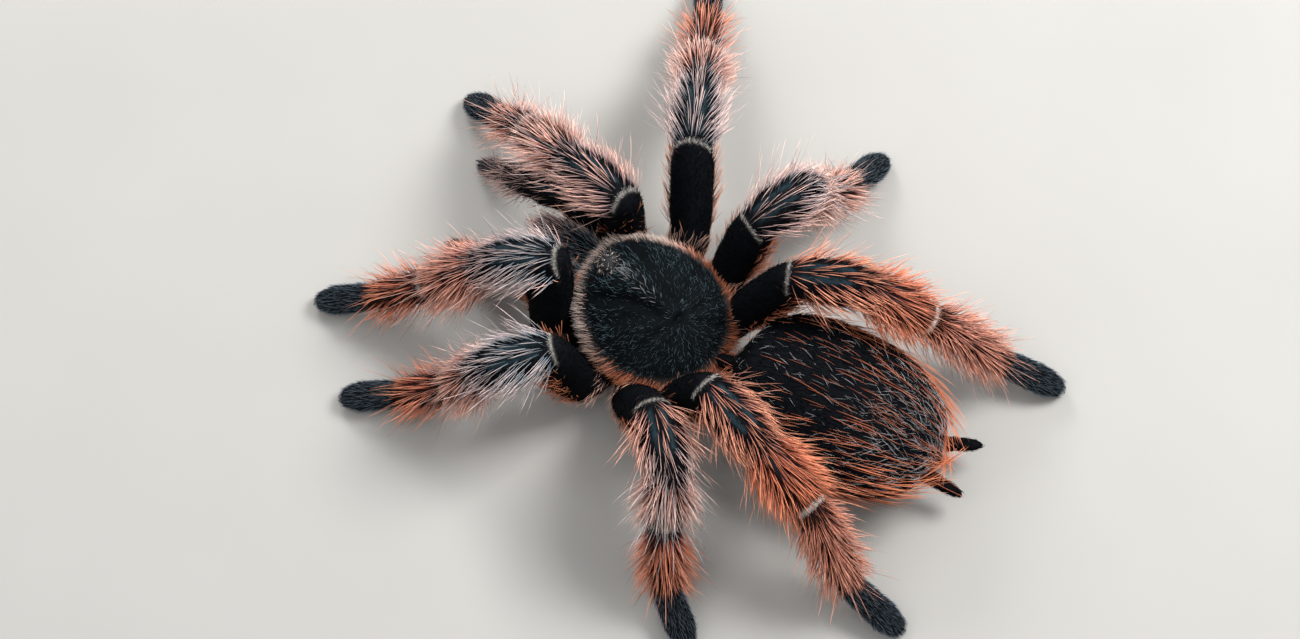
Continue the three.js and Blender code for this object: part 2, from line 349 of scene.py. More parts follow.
# %% What both kinds of graph need
def scaled(graph, vector, amount):
    """A vector or a colour, scaled."""
    sockets = {0: vector, "Scale": amount}
    return graph.node("ShaderNodeVectorMath", {"operation": "SCALE"}, sockets)["Vector"]


def geometry_graph(name, inputs, output):
    """A Geometry Nodes tree with named inputs, given as (name, socket type, default)."""
    tree = bpy.data.node_groups.new(name, "GeometryNodeTree")
    for label, kind, default in inputs:
        socket = tree.interface.new_socket(label, in_out="INPUT", socket_type="NodeSocket" + kind)
        if default is not None:
            socket.default_value = default
    tree.interface.new_socket(output, in_out="OUTPUT", socket_type="NodeSocketGeometry")
    return Graph(tree)


def stored(graph, name, kind="FLOAT"):
    """An attribute of the mesh that a Geometry Nodes tree works on."""
    settings = {"data_type": kind}
    return graph.node("GeometryNodeInputNamedAttribute", settings, {"Name": name})["Attribute"]


# %% [markdown]
# ## The camera
#
# The view looks down steeply on the head shield, from the animal's left and a little behind. A
# camera is best placed by what it looks at, here the middle of the shield's rim, which the CAD node
# gives, and then by a direction and a distance. The spot on the floor under that point is also the
# origin that the animal's own measures start from, with its head towards -Y and its left side
# towards +X.

# %% Find the animal's origin and place the camera
RIM_HEIGHT = 10.0
RIM_BEHIND_MIDDLE = -0.28  # from the middle of the shield's box
AZIMUTH, ELEVATION = math.radians(125), math.radians(68)
DISTANCE = 600.0
FIELD_OF_VIEW = math.radians(19.13)
CLIP = (0.01, 10.0)  # in metres
ASIDE, ABOVE = -0.73, -0.64  # the view's middle, from the rim's middle

shield_x, shield_y, _ = middle_of("carapace")
origin = np.array([shield_x, shield_y + RIM_BEHIND_MIDDLE, 0.0])
rim_middle = origin + RIM_HEIGHT * UP
back = np.array([
    math.sin(AZIMUTH) * math.cos(ELEVATION),
    -math.cos(AZIMUTH) * math.cos(ELEVATION),
    math.sin(ELEVATION),
])
right = np.array([math.cos(AZIMUTH), math.sin(AZIMUTH), 0.0])
above = np.cross(back, right)
lens = bpy.data.cameras.new("camera")
lens.angle = FIELD_OF_VIEW
lens.clip_start, lens.clip_end = CLIP
camera = placed("camera", lens)
camera.matrix_world = Matrix(np.array([right, above, back]).T.tolist()).to_4x4()
camera.location = Vector((rim_middle + ASIDE * right + ABOVE * above + DISTANCE * back) * MM)
bpy.context.scene.camera = camera
print("camera at", [round(v, 4) for v in camera.location])

# %% [markdown]
# ## How the animal stands
#
# A leg is a chain: the hip ends at the root, and then come femur, patella, tibia, metatarsus and
# tarsus. A palp has no metatarsus. The CAD legs follow the same chain, so the lengths and angles
# are repeated here, and the new skin lies inside them. A heading is measured from straight
# sideways, plus towards the rear; a pitch is measured from level, plus upwards. The last segment
# has no pitch of its own, because it simply comes down to the floor.

# %% Lengths and angles of the limbs
TOE_HEIGHT = 1.7
HIPS = {  # the start of the hip, and its root
    1: ((4.9, -7.4, 5.3), (10.2, -12.8, 7.2)),
    2: ((6.6, -2.4, 5.1), (15.2, -3.8, 7.2)),
    3: ((6.6, 3.0, 5.1), (13.2, 4.8, 7.2)),
    4: ((4.9, 7.6, 5.3), (9.2, 10.4, 7.2)),
    "palp": ((2.9, -9.9, 4.2), (6.6, -14.4, 5.2)),
}
LENGTHS = {
    1: (16.8, 10.0, 13.4, 11.2, 8.4),
    2: (15.6, 9.7, 11.7, 10.8, 8.1),
    3: (13.8, 8.7, 10.0, 11.8, 8.1),
    4: (17.2, 9.7, 13.3, 16.6, 9.5),
    "palp": (10.6, 6.6, 8.0, 7.6),
}
STANCE = [  # pair, side, headings, pitches
    (1, "left", (-153, -61, -54, -60, -58), (73, -22, -39, -36)),
    (1, "right", (167, -80, -75, -73, -80), (83, -17, -28, -47)),
    (2, "left", (-48, -44, -66, -62, -55), (73, -15, -62, -33)),
    (2, "right", (-33, -29, -30, -31, -31), (44, -9, -34, -28)),
    (3, "left", (65, 50, 29, 37, 58), (59, 7, -43, -51)),
    (3, "right", (17, 24, 14, 4, 10), (67, 18, -66, -46)),
    (4, "left", (86, 76, 78, 73, 87), (67, -2, -21, -50)),
    (4, "right", (59, 63, 68, 69, 73), (63, 3, -33, -40)),
    ("palp", "left", (-84, -104, -90, -88), (66, -28, -62)),
    ("palp", "right", (-80, -100, -80, -85), (50, -15, -38)),
]
print("limbs:", len(STANCE))


# %% Follow each limb from joint to joint
def on_side(point, side):
    """A point given for the left side, on either side, in the model's frame."""
    x, y, z = point
    return origin + np.array([x if side == "left" else -x, y, z])


def joints_of(pair, side, headings, pitches):
    """The points where a limb's segments meet, from the hip to the toe."""
    hip, root = (on_side(p, side) for p in HIPS[pair])
    joints = [hip, root]
    outward = 1 if side == "left" else -1
    for i, length in enumerate(LENGTHS[pair]):
        last = joints[-1]
        if i < len(pitches):
            pitch = math.radians(pitches[i])
        else:
            pitch = math.asin((TOE_HEIGHT - last[2]) / length)
        turn = math.radians(headings[i])
        level = length * math.cos(pitch)
        step = (outward * level * math.cos(turn), level * math.sin(turn), length * math.sin(pitch))
        joints.append(last + np.array(step))
    return joints


limb_joints = {(pair, side): joints_of(pair, side, h, p) for pair, side, h, p in STANCE}
print("toes at", [[round(float(v)) for v in joints[-1]] for joints in limb_joints.values()])

# %% [markdown]
# ## Flesh as a set of bars
#
# Every fleshy part is a bar: a start, an end, and its half-width and half-height at a few stations
# between. The bars serve twice. Tubes lofted on them are fused into the skin, and afterwards each
# point of the skin asks which bar it belongs to, how far along and how far round it is. All the
# markings and the lie of the hair are worked out from that answer.

# %% Stations of the skin, inside the CAD outline by the depth of the coat
ABDOMEN_HALF = (12.9, 8.9)
BLUNTNESS = 3.2  # the front of the abdomen is squarer than an egg
FULLER_BEHIND = 0.04
EGG_STATIONS = 25
SEGMENTS = ("hip", "femur", "patella", "tibia", "metatarsus", "tarsus")
PALP_SEGMENTS = ("hip", "femur", "patella", "tibia", "tarsus")


def egg_profile():
    """Places along the abdomen, and how full it is there, from 0 to 1."""
    found = []
    for t in np.linspace(0, 1, EGG_STATIONS):
        middle = 2 * t - 1
        power = BLUNTNESS if middle < 0 else 2
        full = max(0.01, math.sqrt(1 - abs(middle) ** power))
        found.append((t, full * (1 + FULLER_BEHIND * middle)))
    return found


SKIN_FORM = {  # place along the bar, half-width, half-height
    "hip": [(0, 2.8, 2.8), (0.5, 3.4, 3.2), (1, 3.2, 3.1)],
    "femur": [(0, 3.0, 3.0), (0.3, 3.35, 3.5), (0.75, 3.4, 3.6), (1, 2.8, 3.0)],
    "patella": [(0, 2.7, 2.7), (0.25, 3.45, 3.2), (0.7, 3.6, 3.4), (1, 3.0, 3.0)],
    "tibia": [(0, 2.6, 2.7), (0.2, 3.0, 3.1), (0.6, 3.05, 3.1), (1, 2.5, 2.5)],
    "metatarsus": [(0, 2.3, 2.3), (0.2, 2.5, 2.5), (0.7, 2.3, 2.25), (1, 1.9, 1.8)],
    "tarsus": [(0, 2.0, 1.8), (0.25, 2.3, 1.8), (0.8, 2.4, 1.7), (1, 1.8, 1.3)],
    "abdomen": [(t, ABDOMEN_HALF[0] * k, ABDOMEN_HALF[1] * k) for t, k in egg_profile()],
    "trunk": [(0, 2.5, 1.6), (0.15, 4.6, 3.1), (0.5, 6.2, 3.7), (0.85, 4.9, 3.1), (1, 2.5, 1.8)],
    "waist": [(0, 1.5, 1.5), (1, 1.5, 1.5)],
    "jaw": [(0, 1.9, 3.0), (0.35, 2.45, 3.9), (0.7, 2.35, 3.7), (0.92, 1.75, 2.7), (1, 1.1, 1.5)],
    "spinneret": [(0, 1.3, 1.3), (0.55, 1.2, 1.2), (0.62, 1.0, 1.0), (0.68, 1.15, 1.15),
                  (0.84, 1.0, 1.0), (0.88, 0.8, 0.8), (0.92, 0.9, 0.9), (1, 0.6, 0.6)],
}
print("stations of the abdomen:", len(SKIN_FORM["abdomen"]))


# %% A bar
class Bar:
    """One fleshy part, from start to end."""

    def __init__(self, kind, row, start, end, scale=1.0, before=0.0, reach=1.0):
        self.kind = kind
        self.row = row  # the row that it takes on the unwrap
        self.start, self.end = np.array(start, float), np.array(end, float)
        self.length = float(np.linalg.norm(self.end - self.start))
        self.along = (self.end - self.start) / self.length
        self.across = unit(np.cross(self.along, UP))
        self.upward = np.cross(self.across, self.along)
        self.stations = np.array(SKIN_FORM[kind]) * (1, scale, scale)
        self.before, self.reach = before, reach  # its span along the whole limb, 0 to 1

    def size_at(self, t):
        """Half-width and half-height at places along the bar."""
        places, wide, high = self.stations.T
        return np.interp(t, places, wide), np.interp(t, places, high)


# %% The bars of the limbs
PALP_THICKNESS = 0.72  # of a leg's


def limb_bars():
    """The bars of all legs and palps, in rows 0 to 9 of the unwrap."""
    made = []
    for row, (pair, side) in enumerate(limb_joints):
        joints = limb_joints[pair, side]
        kinds = PALP_SEGMENTS if pair == "palp" else SEGMENTS
        reach = np.cumsum([0.0] + [np.linalg.norm(b - a) for a, b in zip(joints, joints[1:])])
        reach /= reach[-1]
        for i, kind in enumerate(kinds):
            scale = PALP_THICKNESS if pair == "palp" else 1.0
            made.append(Bar(kind, row, joints[i], joints[i + 1], scale, reach[i], reach[i + 1]))
    return made


bars = limb_bars()
print("bars of the limbs:", len(bars))

# %% The bars of the trunk
TRUNK = [  # kind, row on the unwrap, start, end
    ("trunk", 11, (0, -10.0, 6.4), (0, 9.5, 6.4)),
    ("waist", 12, (0, 8.2, 6.6), (-0.7, 15.5, 9.0)),
    ("abdomen", 10, (-1.3, 14.2, 10.8), (-5.5, 49.9, 10.4)),
    ("jaw", 13, (2.65, -10.8, 11.0), (2.8, -24.0, 7.9)),
    ("jaw", 14, (-2.65, -10.8, 11.0), (-2.8, -24.0, 7.9)),
    ("spinneret", 15, (-3.4, 45.4, 5.8), (-4.4, 54.4, 4.6)),
    ("spinneret", 16, (-7.8, 45.2, 5.8), (-13.0, 52.6, 4.6)),
]
ROWS = 17
bars += [Bar(kind, row, origin + a, origin + b) for kind, row, a, b in TRUNK]
print("bars in all:", len(bars))

# %% [markdown]
# ## The skin
#
# Tubes that merely poke through each other would show a seam at every joint. A voxel remesh reads
# them as one volume and lays a single new surface over it, and a little smoothing then turns the
# steps into the soft folds of a joint.

# %% Loft the bars and fuse them
TUBE_SIDES = 24
TUBE_RINGS = 14
CAP_RINGS = (0.5, 0.87)  # two rings that round off each end, as sines of their angle
CAP_DEPTH = 0.8  # in half-widths
VOXEL, SMOOTHING = 0.46, 5
SMOOTHING_FACTOR = 0.5


def tube(bar):
    """Points and faces of a closed tube with rounded ends."""
    turns = np.linspace(0, ROUND, TUBE_SIDES, endpoint=False)[:, None]
    caps = [(math.sqrt(1 - sine * sine), sine) for sine in CAP_RINGS]
    rings = [(0.0, -cosine, sine) for cosine, sine in caps]
    rings += [(t, 0.0, 1.0) for t in np.linspace(0, 1, TUBE_RINGS)]
    rings += [(1.0, cosine, sine) for cosine, sine in reversed(caps)]
    points = []
    for t, beyond, share in rings:
        wide, high = bar.size_at(t)
        spot = bar.start + bar.along * (t * bar.length + beyond * CAP_DEPTH * wide)
        points.append(
            spot
            + share * wide * np.cos(turns) * bar.across
            + share * high * np.sin(turns) * bar.upward
        )
    first, last = points[0].mean(0), points[-1].mean(0)
    return np.concatenate([*points, [first], [last]]), closed_faces(len(rings), TUBE_SIDES)


def remeshed(piece, voxel, smoothing):
    """A piece's volume under one new, even surface."""
    return applied(piece, [
        ("REMESH", {"mode": "VOXEL", "voxel_size": voxel * MM}),
        ("SMOOTH", {"factor": SMOOTHING_FACTOR, "iterations": smoothing}),
    ])


skin = remeshed(new_piece("skin", *joined([tube(bar) for bar in bars])), VOXEL, SMOOTHING)
without_crumbs(skin.data)
print("skin faces:", len(skin.data.polygons))

# %% [markdown]
# ## Where each point of the skin belongs
#
# Each point and each face takes the bar that it lies closest to, measured in that bar's own
# thickness. From the bar come three numbers: `place`, 0 to 1 along the segment; `turn`, the angle
# round it, 0 on top; and the row on the unwrap. The unwrap unrolls every limb as one strip, hip to
# toe across and once round up the strip, so it follows the skin's own shape.

# %% The bar that a point belongs to
PAST_END = 0.3  # how far past a bar's ends its places are still counted
THIN_ENDS = (0.06, 0.94)  # a bar is measured between these, away from its narrow ends
KNEECAP = 0.82  # a patella claims more than its half of the bend, as it caps the femur's end


def nearest_bar(points):
    """The number of the bar that each point lies on."""
    best = np.full(len(points), np.inf)
    owner = np.zeros(len(points), int)
    for number, bar in enumerate(bars):
        place = np.clip((points - bar.start) @ bar.along / bar.length, 0, 1)
        offset = points - bar.start - np.outer(place * bar.length, bar.along)
        wide, high = bar.size_at(np.clip(place, *THIN_ENDS))
        distance = np.linalg.norm(offset, axis=1) / np.sqrt(wide * high)
        distance *= KNEECAP if bar.kind == "patella" else 1.0
        closer = distance < best
        best[closer], owner[closer] = distance[closer], number
    return owner


def of_bars(name, owner):
    """One property of the bar that each point belongs to."""
    return np.array([getattr(bar, name) for bar in bars])[owner]


def along_and_round(points, owner):
    """Each point's place along its bar, and its turn round it."""
    offset = points - of_bars("start", owner)
    along, across, upward = (
        (offset * of_bars(name, owner)).sum(1) for name in ("along", "across", "upward")
    )
    place = np.clip(along / of_bars("length", owner), -PAST_END, 1 + PAST_END)
    return place, np.arctan2(across, upward)


# %% The unwrap of the skin
ROW_MARGIN, SIDE_MARGIN = 0.1, 0.01  # shares of a row's height, and of the unwrap's width


def unwrapped(mesh, points):
    """A place on the unwrap for each corner of the skin's faces."""
    vertex = counts_of(mesh.loops, "vertex_index")
    first = counts_of(mesh.polygons, "loop_start")
    sides = counts_of(mesh.polygons, "loop_total")
    face = np.repeat(np.arange(len(first)), sides)
    centres = np.add.reduceat(points[vertex], first, axis=0) / sides[:, None]
    owner = nearest_bar(centres)[face]
    place, turn = along_and_round(points[vertex], owner)
    lead = turn[first][face]
    turn = lead + (turn - lead + math.pi) % ROUND - math.pi  # no face spans the cut
    row, before, reach = (of_bars(name, owner) for name in ("row", "before", "reach"))
    across = before + place * (reach - before)
    round_it = np.clip(turn / ROUND + 0.5, -ROW_MARGIN, 1 + ROW_MARGIN)
    up = (row + ROW_MARGIN + (1 - 2 * ROW_MARGIN) * round_it) / ROWS
    return np.stack([SIDE_MARGIN + (1 - 2 * SIDE_MARGIN) * across, up], 1)


# %% Read the skin in terms of its bars
skin_points = points_of(skin.data)
owner = nearest_bar(skin_points)
place, turn = along_and_round(skin_points, owner)
kind = of_bars("kind", owner)
limb_names = [f"{pair} {side}" for pair, side in limb_joints]
limb = np.array([*limb_names, "body"])[np.minimum(of_bars("row", owner), len(limb_names))]
pair = np.array([name.split()[0] for name in limb])
write_attribute(skin.data, "root_place", unwrapped(skin.data, skin_points), "FLOAT2", "CORNER")
print({name: int((kind == name).sum()) for name in SKIN_FORM})

# %% [markdown]
# ## Markings
#
# Skin and hair must agree about colour, so their marks are kept on the skin's points. `pale` turns
# orange hair to pale pink. It differs from limb to limb and from segment to segment, and along a
# patella it moves half-way towards the tibia's. It is partly markings and partly painted light:
# where the left and the right leg of one pair differ, the difference is painted highlight and
# painted shade, not a marking. `ring` marks the whitish edges at the joints.
# `bare` marks the hairless dark stripes that run down the top of each patella, and of each tibia
# but the third pair's. `warm` gives the skin of the lower legs a rusty tone.
#
# The numbers in a `smoothstep` or a `bump` are places along a segment from 0 to 1, turns round it
# in radians, or distances in millimetres, as the value that follows them is.

# %% Work out the markings
# Paleness of each limb: its pink markings, plus painted highlight and painted shade where the left
# and right legs of a pair differ.
PALENESS_AND_PAINTED_LIGHT = {  # of patella, tibia and metatarsus
    "1 left": (0.9, 0.45, 0.1), "1 right": (0.5, 0.8, 0.55),
    "2 left": (0.95, 0.6, 0.1), "2 right": (0.8, 0.75, 0.2),
    "3 left": (0.3, 1.0, 0.15), "3 right": (0.6, 1.0, 0.7),
    "4 left": (0.15, 0.05, 0.3), "4 right": (0.1, 0.1, 0.35),
    "palp left": (0.9, 0.9, 0.9), "palp right": (0.9, 0.9, 0.9),
}
STRIPE_TURN, STRIPE_WIDTH = 0.34, 0.13  # radians from the top of the limb
KNEE_RIM = -1.2  # where a patella's pale rim lies, from the middle of the joint
ANKLE_RIM = 0.35  # half the width of the white line between tibia and metatarsus
FAINT_KNEE, FAINT_ANKLE = 0.4, 0.35  # how much of the white shows, except at a fourth ankle
EASE = 0.2  # half the width over which a rim fades

is_patella, is_tibia, is_metatarsus = (kind == k for k in ("patella", "tibia", "metatarsus"))
pale = 0.5 * (kind == "hip")
for name, (at_patella, at_tibia, at_metatarsus) in PALENESS_AND_PAINTED_LIGHT.items():
    fading = at_patella + 0.5 * (at_tibia - at_patella) * smoothstep(0.5, 1.0, place)
    pale = np.where((limb == name) & is_patella, fading, pale)
    pale[(limb == name) & is_tibia] = at_tibia
    pale[(limb == name) & is_metatarsus] = at_metatarsus
from_start = place * of_bars("length", owner)
to_end = (1 - place) * of_bars("length", owner)
from_ankle = np.where(is_tibia, to_end, np.where(is_metatarsus, from_start, np.inf))
above_limb = 1 - smoothstep(1.3, 1.9, np.abs(turn))
ring = is_patella * FAINT_KNEE * bump(from_start, KNEE_RIM, EASE) * above_limb
at_ankle = 1 - smoothstep(ANKLE_RIM - EASE, ANKLE_RIM + EASE, np.abs(from_ankle))
ring += at_ankle * above_limb * np.where(pair == "4", 1.0, FAINT_ANKLE)

# %% The stripes, the warm skin, and all four marks on the mesh
stripes = bump(np.abs(turn), STRIPE_TURN, STRIPE_WIDTH)
bare = stripes * (is_patella * smoothstep(0.0, 0.15, place) * (1 - smoothstep(0.88, 0.97, place)))
tibia_stripes = 0.6 * stripes * is_tibia * (pair != "3")
bare += tibia_stripes * smoothstep(0.03, 0.12, place) * (1 - smoothstep(0.5, 0.8, place))
bare = np.clip(1.3 * bare, 0, 1)
warm = (is_tibia * 0.8 + is_metatarsus) * (pair != "palp")
for name, values in (("pale", pale), ("ring", ring), ("bare", bare), ("warm", warm)):
    write_attribute(skin.data, name, values)
    print(name, "on average:", round(float(values.mean()), 3))

# %% [markdown]
# ## The lie of the coat
#
# Hair lies along the body, away from the head and down every limb. The direction is the bar's own
# direction, laid flat on the skin at each point. On the lower legs it also parts along the top, so
# that the bristles sweep outwards as well as down, most of all where a segment starts. On the
# abdomen it draws in to the midline, and on the trunk it points away from under the shield.

# %% Lay the coat's direction on the skin
def laid_on(directions, normals):
    """Directions turned to lie along a surface."""
    return unit(directions - (directions * normals).sum(1, keepdims=True) * normals)


FAN_AT_START, FAN_AT_END = 1.5, 0.45  # how far the lower legs' hair turns outwards
KNEE_FAN = 0.6  # the same on a patella
INGATHERING = 0.3  # the abdomen's hair leans to the midline instead
skin_normals = normals_of(skin.data)
flow = of_bars("along", owner)
from_top = of_bars("across", owner) * np.sign(turn)[:, None]
fan = FAN_AT_START + (FAN_AT_END - FAN_AT_START) * np.clip(place, 0, 1)
parted = fan * (is_tibia | is_metatarsus) * smoothstep(0.3, 1.3, np.abs(turn))
parted += KNEE_FAN * is_patella * smoothstep(0.05, 0.6, np.abs(turn))
parted -= INGATHERING * (kind == "abdomen") * smoothstep(0.2, 1.0, np.abs(turn))
flow = unit(flow + from_top * (parted * (1 - smoothstep(1.8, 2.8, np.abs(turn))))[:, None])
in_trunk = kind == "trunk"
flow[in_trunk] = unit(skin_points[in_trunk] - rim_middle) * (1, 1, 0.2)
write_attribute(skin.data, "lie", laid_on(flow, skin_normals), "FLOAT_VECTOR")
print("points where the hair parts:", int((parted > 0).sum()))

# %% [markdown]
# ## The head shield
#
# The carapace is one hard plate, so it stays a piece of its own. The CAD node gives its dome. A
# remesh evens out the facets, and then every point of the top is pressed in by a rule: a pit, the
# fovea, where the inner muscles are fixed, furrows that run out from it between the legs, and two
# deeper ones that set the head off in front. The furrows fade out before the edge.

# %% Shape the shield
FOVEA = origin + (0.0, 4.6, 0.0)
SHIELD_VOXEL, SHIELD_SMOOTHING = 0.24, 14
FURROW_DEPTH = 0.42
HEAD_FURROW_SHARE, PIT_SHARE = 1.5, 2.4  # how deep these are, in depths of a furrow
PIT_HALF = (1.3, 0.55)
FURROWS = [math.radians(a) for a in (38, 72, 108, 142)]  # from straight ahead, on each side
HEAD_FURROW = math.radians(24)


def shield_top(points, normals):
    """How far each point of the shield is pressed in, in millimetres."""
    level = points[:, :2] - FOVEA[:2]
    distance = np.linalg.norm(level, axis=1)
    angle = np.abs(np.arctan2(level[:, 0], -level[:, 1]))
    out = smoothstep(1.2, 3.5, distance) * (1 - smoothstep(7.5, 11.0, distance))
    wide = 0.55 + 0.04 * distance
    depth = sum(bump(angle * distance, furrow * distance, wide) for furrow in FURROWS) * out
    head = smoothstep(1.5, 4.0, distance) * (1 - smoothstep(12.0, 15.0, distance))
    depth += HEAD_FURROW_SHARE * head * bump((angle - HEAD_FURROW) * distance, 0, 0.9)
    depth += PIT_SHARE * bump(level[:, 0], 0, PIT_HALF[0]) * bump(level[:, 1], 0, PIT_HALF[1])
    return FURROW_DEPTH * depth * smoothstep(0.2, 0.5, normals[:, 2])


shield = remeshed(welded_copy("carapace", "shield"), SHIELD_VOXEL, SHIELD_SMOOTHING)
shield_points = points_of(shield.data)
shield_normals = normals_of(shield.data)
pressed = shield_top(shield_points, shield_normals)
shield_points -= shield_normals * pressed[:, None]
set_points(shield.data, shield_points)
print("shield faces:", len(shield.data.polygons))

# %% The shield's own directions for hair and markings
from_fovea = shield_points - FOVEA
from_fovea[:, 2] = 0
shield_low, shield_high = (np.array(v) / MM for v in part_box("carapace"))
half = (shield_high - shield_low)[:2] / 2
edge_share = np.linalg.norm((shield_points - (shield_low + shield_high) / 2)[:, :2] / half, axis=1)
facing_up = smoothstep(0.05, 0.35, shield_normals[:, 2])
write_attribute(shield.data, "lie", laid_on(unit(from_fovea), shield_normals), "FLOAT_VECTOR")
write_attribute(shield.data, "edge", smoothstep(0.86, 0.97, edge_share))
ahead = smoothstep(2.0, -8.0, shield_points[:, 1] - origin[1])
write_attribute(shield.data, "pale", ahead)


def plan_place(mesh, points):
    """An unwrap for a piece that lies flat: its plan, seen from above."""
    low, high = points.min(0), points.max(0)
    return ((points - low) / (high - low))[counts_of(mesh.loops, "vertex_index")][:, :2]


shield_plan = plan_place(shield.data, shield_points)
write_attribute(shield.data, "root_place", shield_plan, "FLOAT2", "CORNER")
print("share of the shield with pale hair:", round(float(ahead.mean()), 2))

# %% [markdown]
# ## Eyes
#
# A tarantula has eight small eyes on one mound at the front of the head: four in a front row and
# four behind. Each is a hard, clear-coated bead, about two thirds of it sunk in the mound, with a
# low lid of skin round it.

# %% A ball
def ball(middle, size, sides, rings):
    """Points and faces of an ellipsoid."""
    points = []
    for ring in range(1, rings):
        polar = math.pi * ring / rings
        for side in range(sides):
            turned = ROUND * side / sides
            level = math.sin(polar)
            spot = (level * math.cos(turned), level * math.sin(turned), math.cos(polar))
            points.append(middle + np.array(spot) * size)
    points += [middle + UP * size, middle - UP * size]
    return np.array(points), closed_faces(rings - 1, sides)


# %% Mound and eyes
MOUND = middle_of("eye_mound")
MOUND_SIZE = np.array([1.85, 1.5, 1.15])
MOUND_SINK = 0.45
EYES = [  # from the mound's middle: sideways, rearward, radius
    (0.52, -0.88, 0.45), (1.32, -0.5, 0.4), (1.3, 0.45, 0.36), (0.8, 0.8, 0.28),
]
NOSE_UP = math.radians(14)
EYE_SINK = 0.35  # how far an eye's middle is below the mound's surface, in radii
LID_HEIGHT, LID_WIDTH = 0.14, 0.16
LID_RADIUS = 1.25  # in radii of the eye
MOUND_MESH, EYE_MESH = (40, 24), (24, 16)  # sides and rings


def nose_up(points):
    """Points turned about the mound's middle, as the shield is tilted."""
    c, s = math.cos(NOSE_UP), math.sin(NOSE_UP)
    return MOUND + (points - MOUND) @ np.array([[1, 0, 0], [0, c, -s], [0, s, c]])


mound_middle = MOUND - MOUND_SINK * UP
mound_points, mound_faces = ball(mound_middle, MOUND_SIZE, *MOUND_MESH)
eye_parts = []
for side in (1, -1):
    for across, behind, radius in EYES:
        outside = (across / MOUND_SIZE[0]) ** 2 + (behind / MOUND_SIZE[1]) ** 2
        level = MOUND_SIZE[2] * math.sqrt(max(0.1, 1 - outside))
        spot = mound_middle + (side * across, behind, level)
        outward = unit((spot - mound_middle) / MOUND_SIZE**2)
        spot = spot - outward * radius * EYE_SINK
        eye_parts.append(ball(spot, radius, *EYE_MESH))
        distance = np.linalg.norm(mound_points - spot, axis=1)
        lid = LID_HEIGHT * bump(distance, radius * LID_RADIUS, LID_WIDTH)
        mound_points += outward * lid[:, None]
eye_points, eye_faces = joined(eye_parts)
mound = new_piece("eye_mound_skin", nose_up(mound_points), mound_faces)
eyes = new_piece("eyes", nose_up(eye_points), eye_faces)
print("eyes:", len(eye_parts))

# %% [markdown]
# ## Fangs
#
# Fangs are hollow curved needles folded back under the jaws. The CAD nodes have their shape, so
# they are only welded and subdivided into smooth horn.

# %% Fangs
FINER = {"levels": 2, "render_levels": 2}
fangs = []
for side in ("left", "right"):
    fang = welded_copy(f"fang_{side}", f"fang_{side}_polished")
    fangs.append(applied(fang, [("SUBSURF", FINER)]))
print("fang faces:", [len(f.data.polygons) for f in fangs])

# %% [markdown]
# ## Finishes
#
# Every finish starts from the same call: a Principled shader whose fixed numbers are set on its
# own sockets, and whose colour is worked out by a short function. Colours are written as a screen
# shows them and turned to linear light here.

# %% Helpers for finishes
NOISE_DETAIL = 3.0


def dye(red, green, blue):
    """A colour as linear light, from 0 to 255 screen values."""
    return [((v / 255) / 12.92 if v < 10 else ((v / 255 + 0.055) / 1.055) ** 2.4)
            for v in (red, green, blue)] + [1.0]


def mixed(graph, share, first, second):
    """Two colours blended by a share."""
    sockets = {"Factor": share, "A": first, "B": second}
    settings = {"data_type": "RGBA", "clamp_factor": True}
    return graph.node("ShaderNodeMix", settings, sockets)["Result"]


def attribute(graph, name):
    """A number that the mesh carries."""
    return graph.node("ShaderNodeAttribute", {"attribute_name": name})["Fac"]


def noise(graph, scale):
    """A noise value of 0 to 1, by the object's own coordinates. scale is in grains a metre."""
    place = graph.node("ShaderNodeTexCoord")["Object"]
    sockets = {"Vector": place, "Scale": scale, "Detail": NOISE_DETAIL}
    return graph.node("ShaderNodeTexNoise", None, sockets)["Fac"]


def finish(name, constants, build):
    """A material. build gets the graph and returns what feeds the shader's sockets."""
    material = bpy.data.materials.new(name)
    material.use_nodes = True
    tree = material.node_tree
    tree.nodes.clear()
    graph = Graph(tree)
    surface = graph.node("ShaderNodeBsdfPrincipled", None, {**constants, **build(graph)})
    graph.node("ShaderNodeOutputMaterial", None, {"Surface": surface["BSDF"]})
    return material


def raised(graph, height, strength, depth):
    """A bump from a height, as a normal. depth is in millimetres."""
    sockets = {"Height": height, "Strength": strength, "Distance": depth * MM}
    return graph.node("ShaderNodeBump", None, sockets)["Normal"]


print("a middle grey as linear light:", round(dye(128, 128, 128)[0], 3))

# %% The looks of the skin and the shield
INK = dye(8, 10, 13)
SOOT = dye(15, 17, 20)
RUST_SKIN = dye(40, 22, 17)
JOINT_WHITE = dye(196, 188, 180)
STRIPE_GREY = dye(32, 46, 52)


def skin_look(graph):
    """Near-black skin, rusty where it is warm, with grey stripes and white rims."""
    mottle = noise(graph, 900.0)
    base = mixed(graph, mottle, INK, SOOT)
    base = mixed(graph, attribute(graph, "warm") * 0.8, base, RUST_SKIN)
    base = mixed(graph, attribute(graph, "bare"), base, STRIPE_GREY)
    base = mixed(graph, attribute(graph, "ring"), base, JOINT_WHITE)
    grain = noise(graph, 4200.0)
    return {"Base Color": base, "Normal": raised(graph, grain, strength=0.6, depth=0.12)}


def shield_look(graph):
    """Black horn with a rough grain, browner at its edge."""
    mottle = noise(graph, 1400.0)
    base = mixed(graph, mottle, dye(4, 6, 8), dye(12, 17, 20))
    base = mixed(graph, attribute(graph, "edge"), base, dye(60, 52, 48))
    height = noise(graph, 5200.0) + mottle * 2.0
    return {"Base Color": base, "Normal": raised(graph, height, strength=0.5, depth=0.12)}


# %% The looks of the eyes, their mound, and the horn of fangs and claws
def mound_look(graph):
    """Black skin with a fine grain."""
    return {"Base Color": mixed(graph, noise(graph, 2500.0), dye(7, 8, 9), dye(24, 25, 27)),
            "Normal": raised(graph, noise(graph, 7000.0), strength=0.5, depth=0.06)}


def eye_look(graph):
    """Black, with a trace of brown in its depth."""
    return {"Base Color": mixed(graph, noise(graph, 1500.0), dye(5, 5, 6), dye(16, 12, 11))}


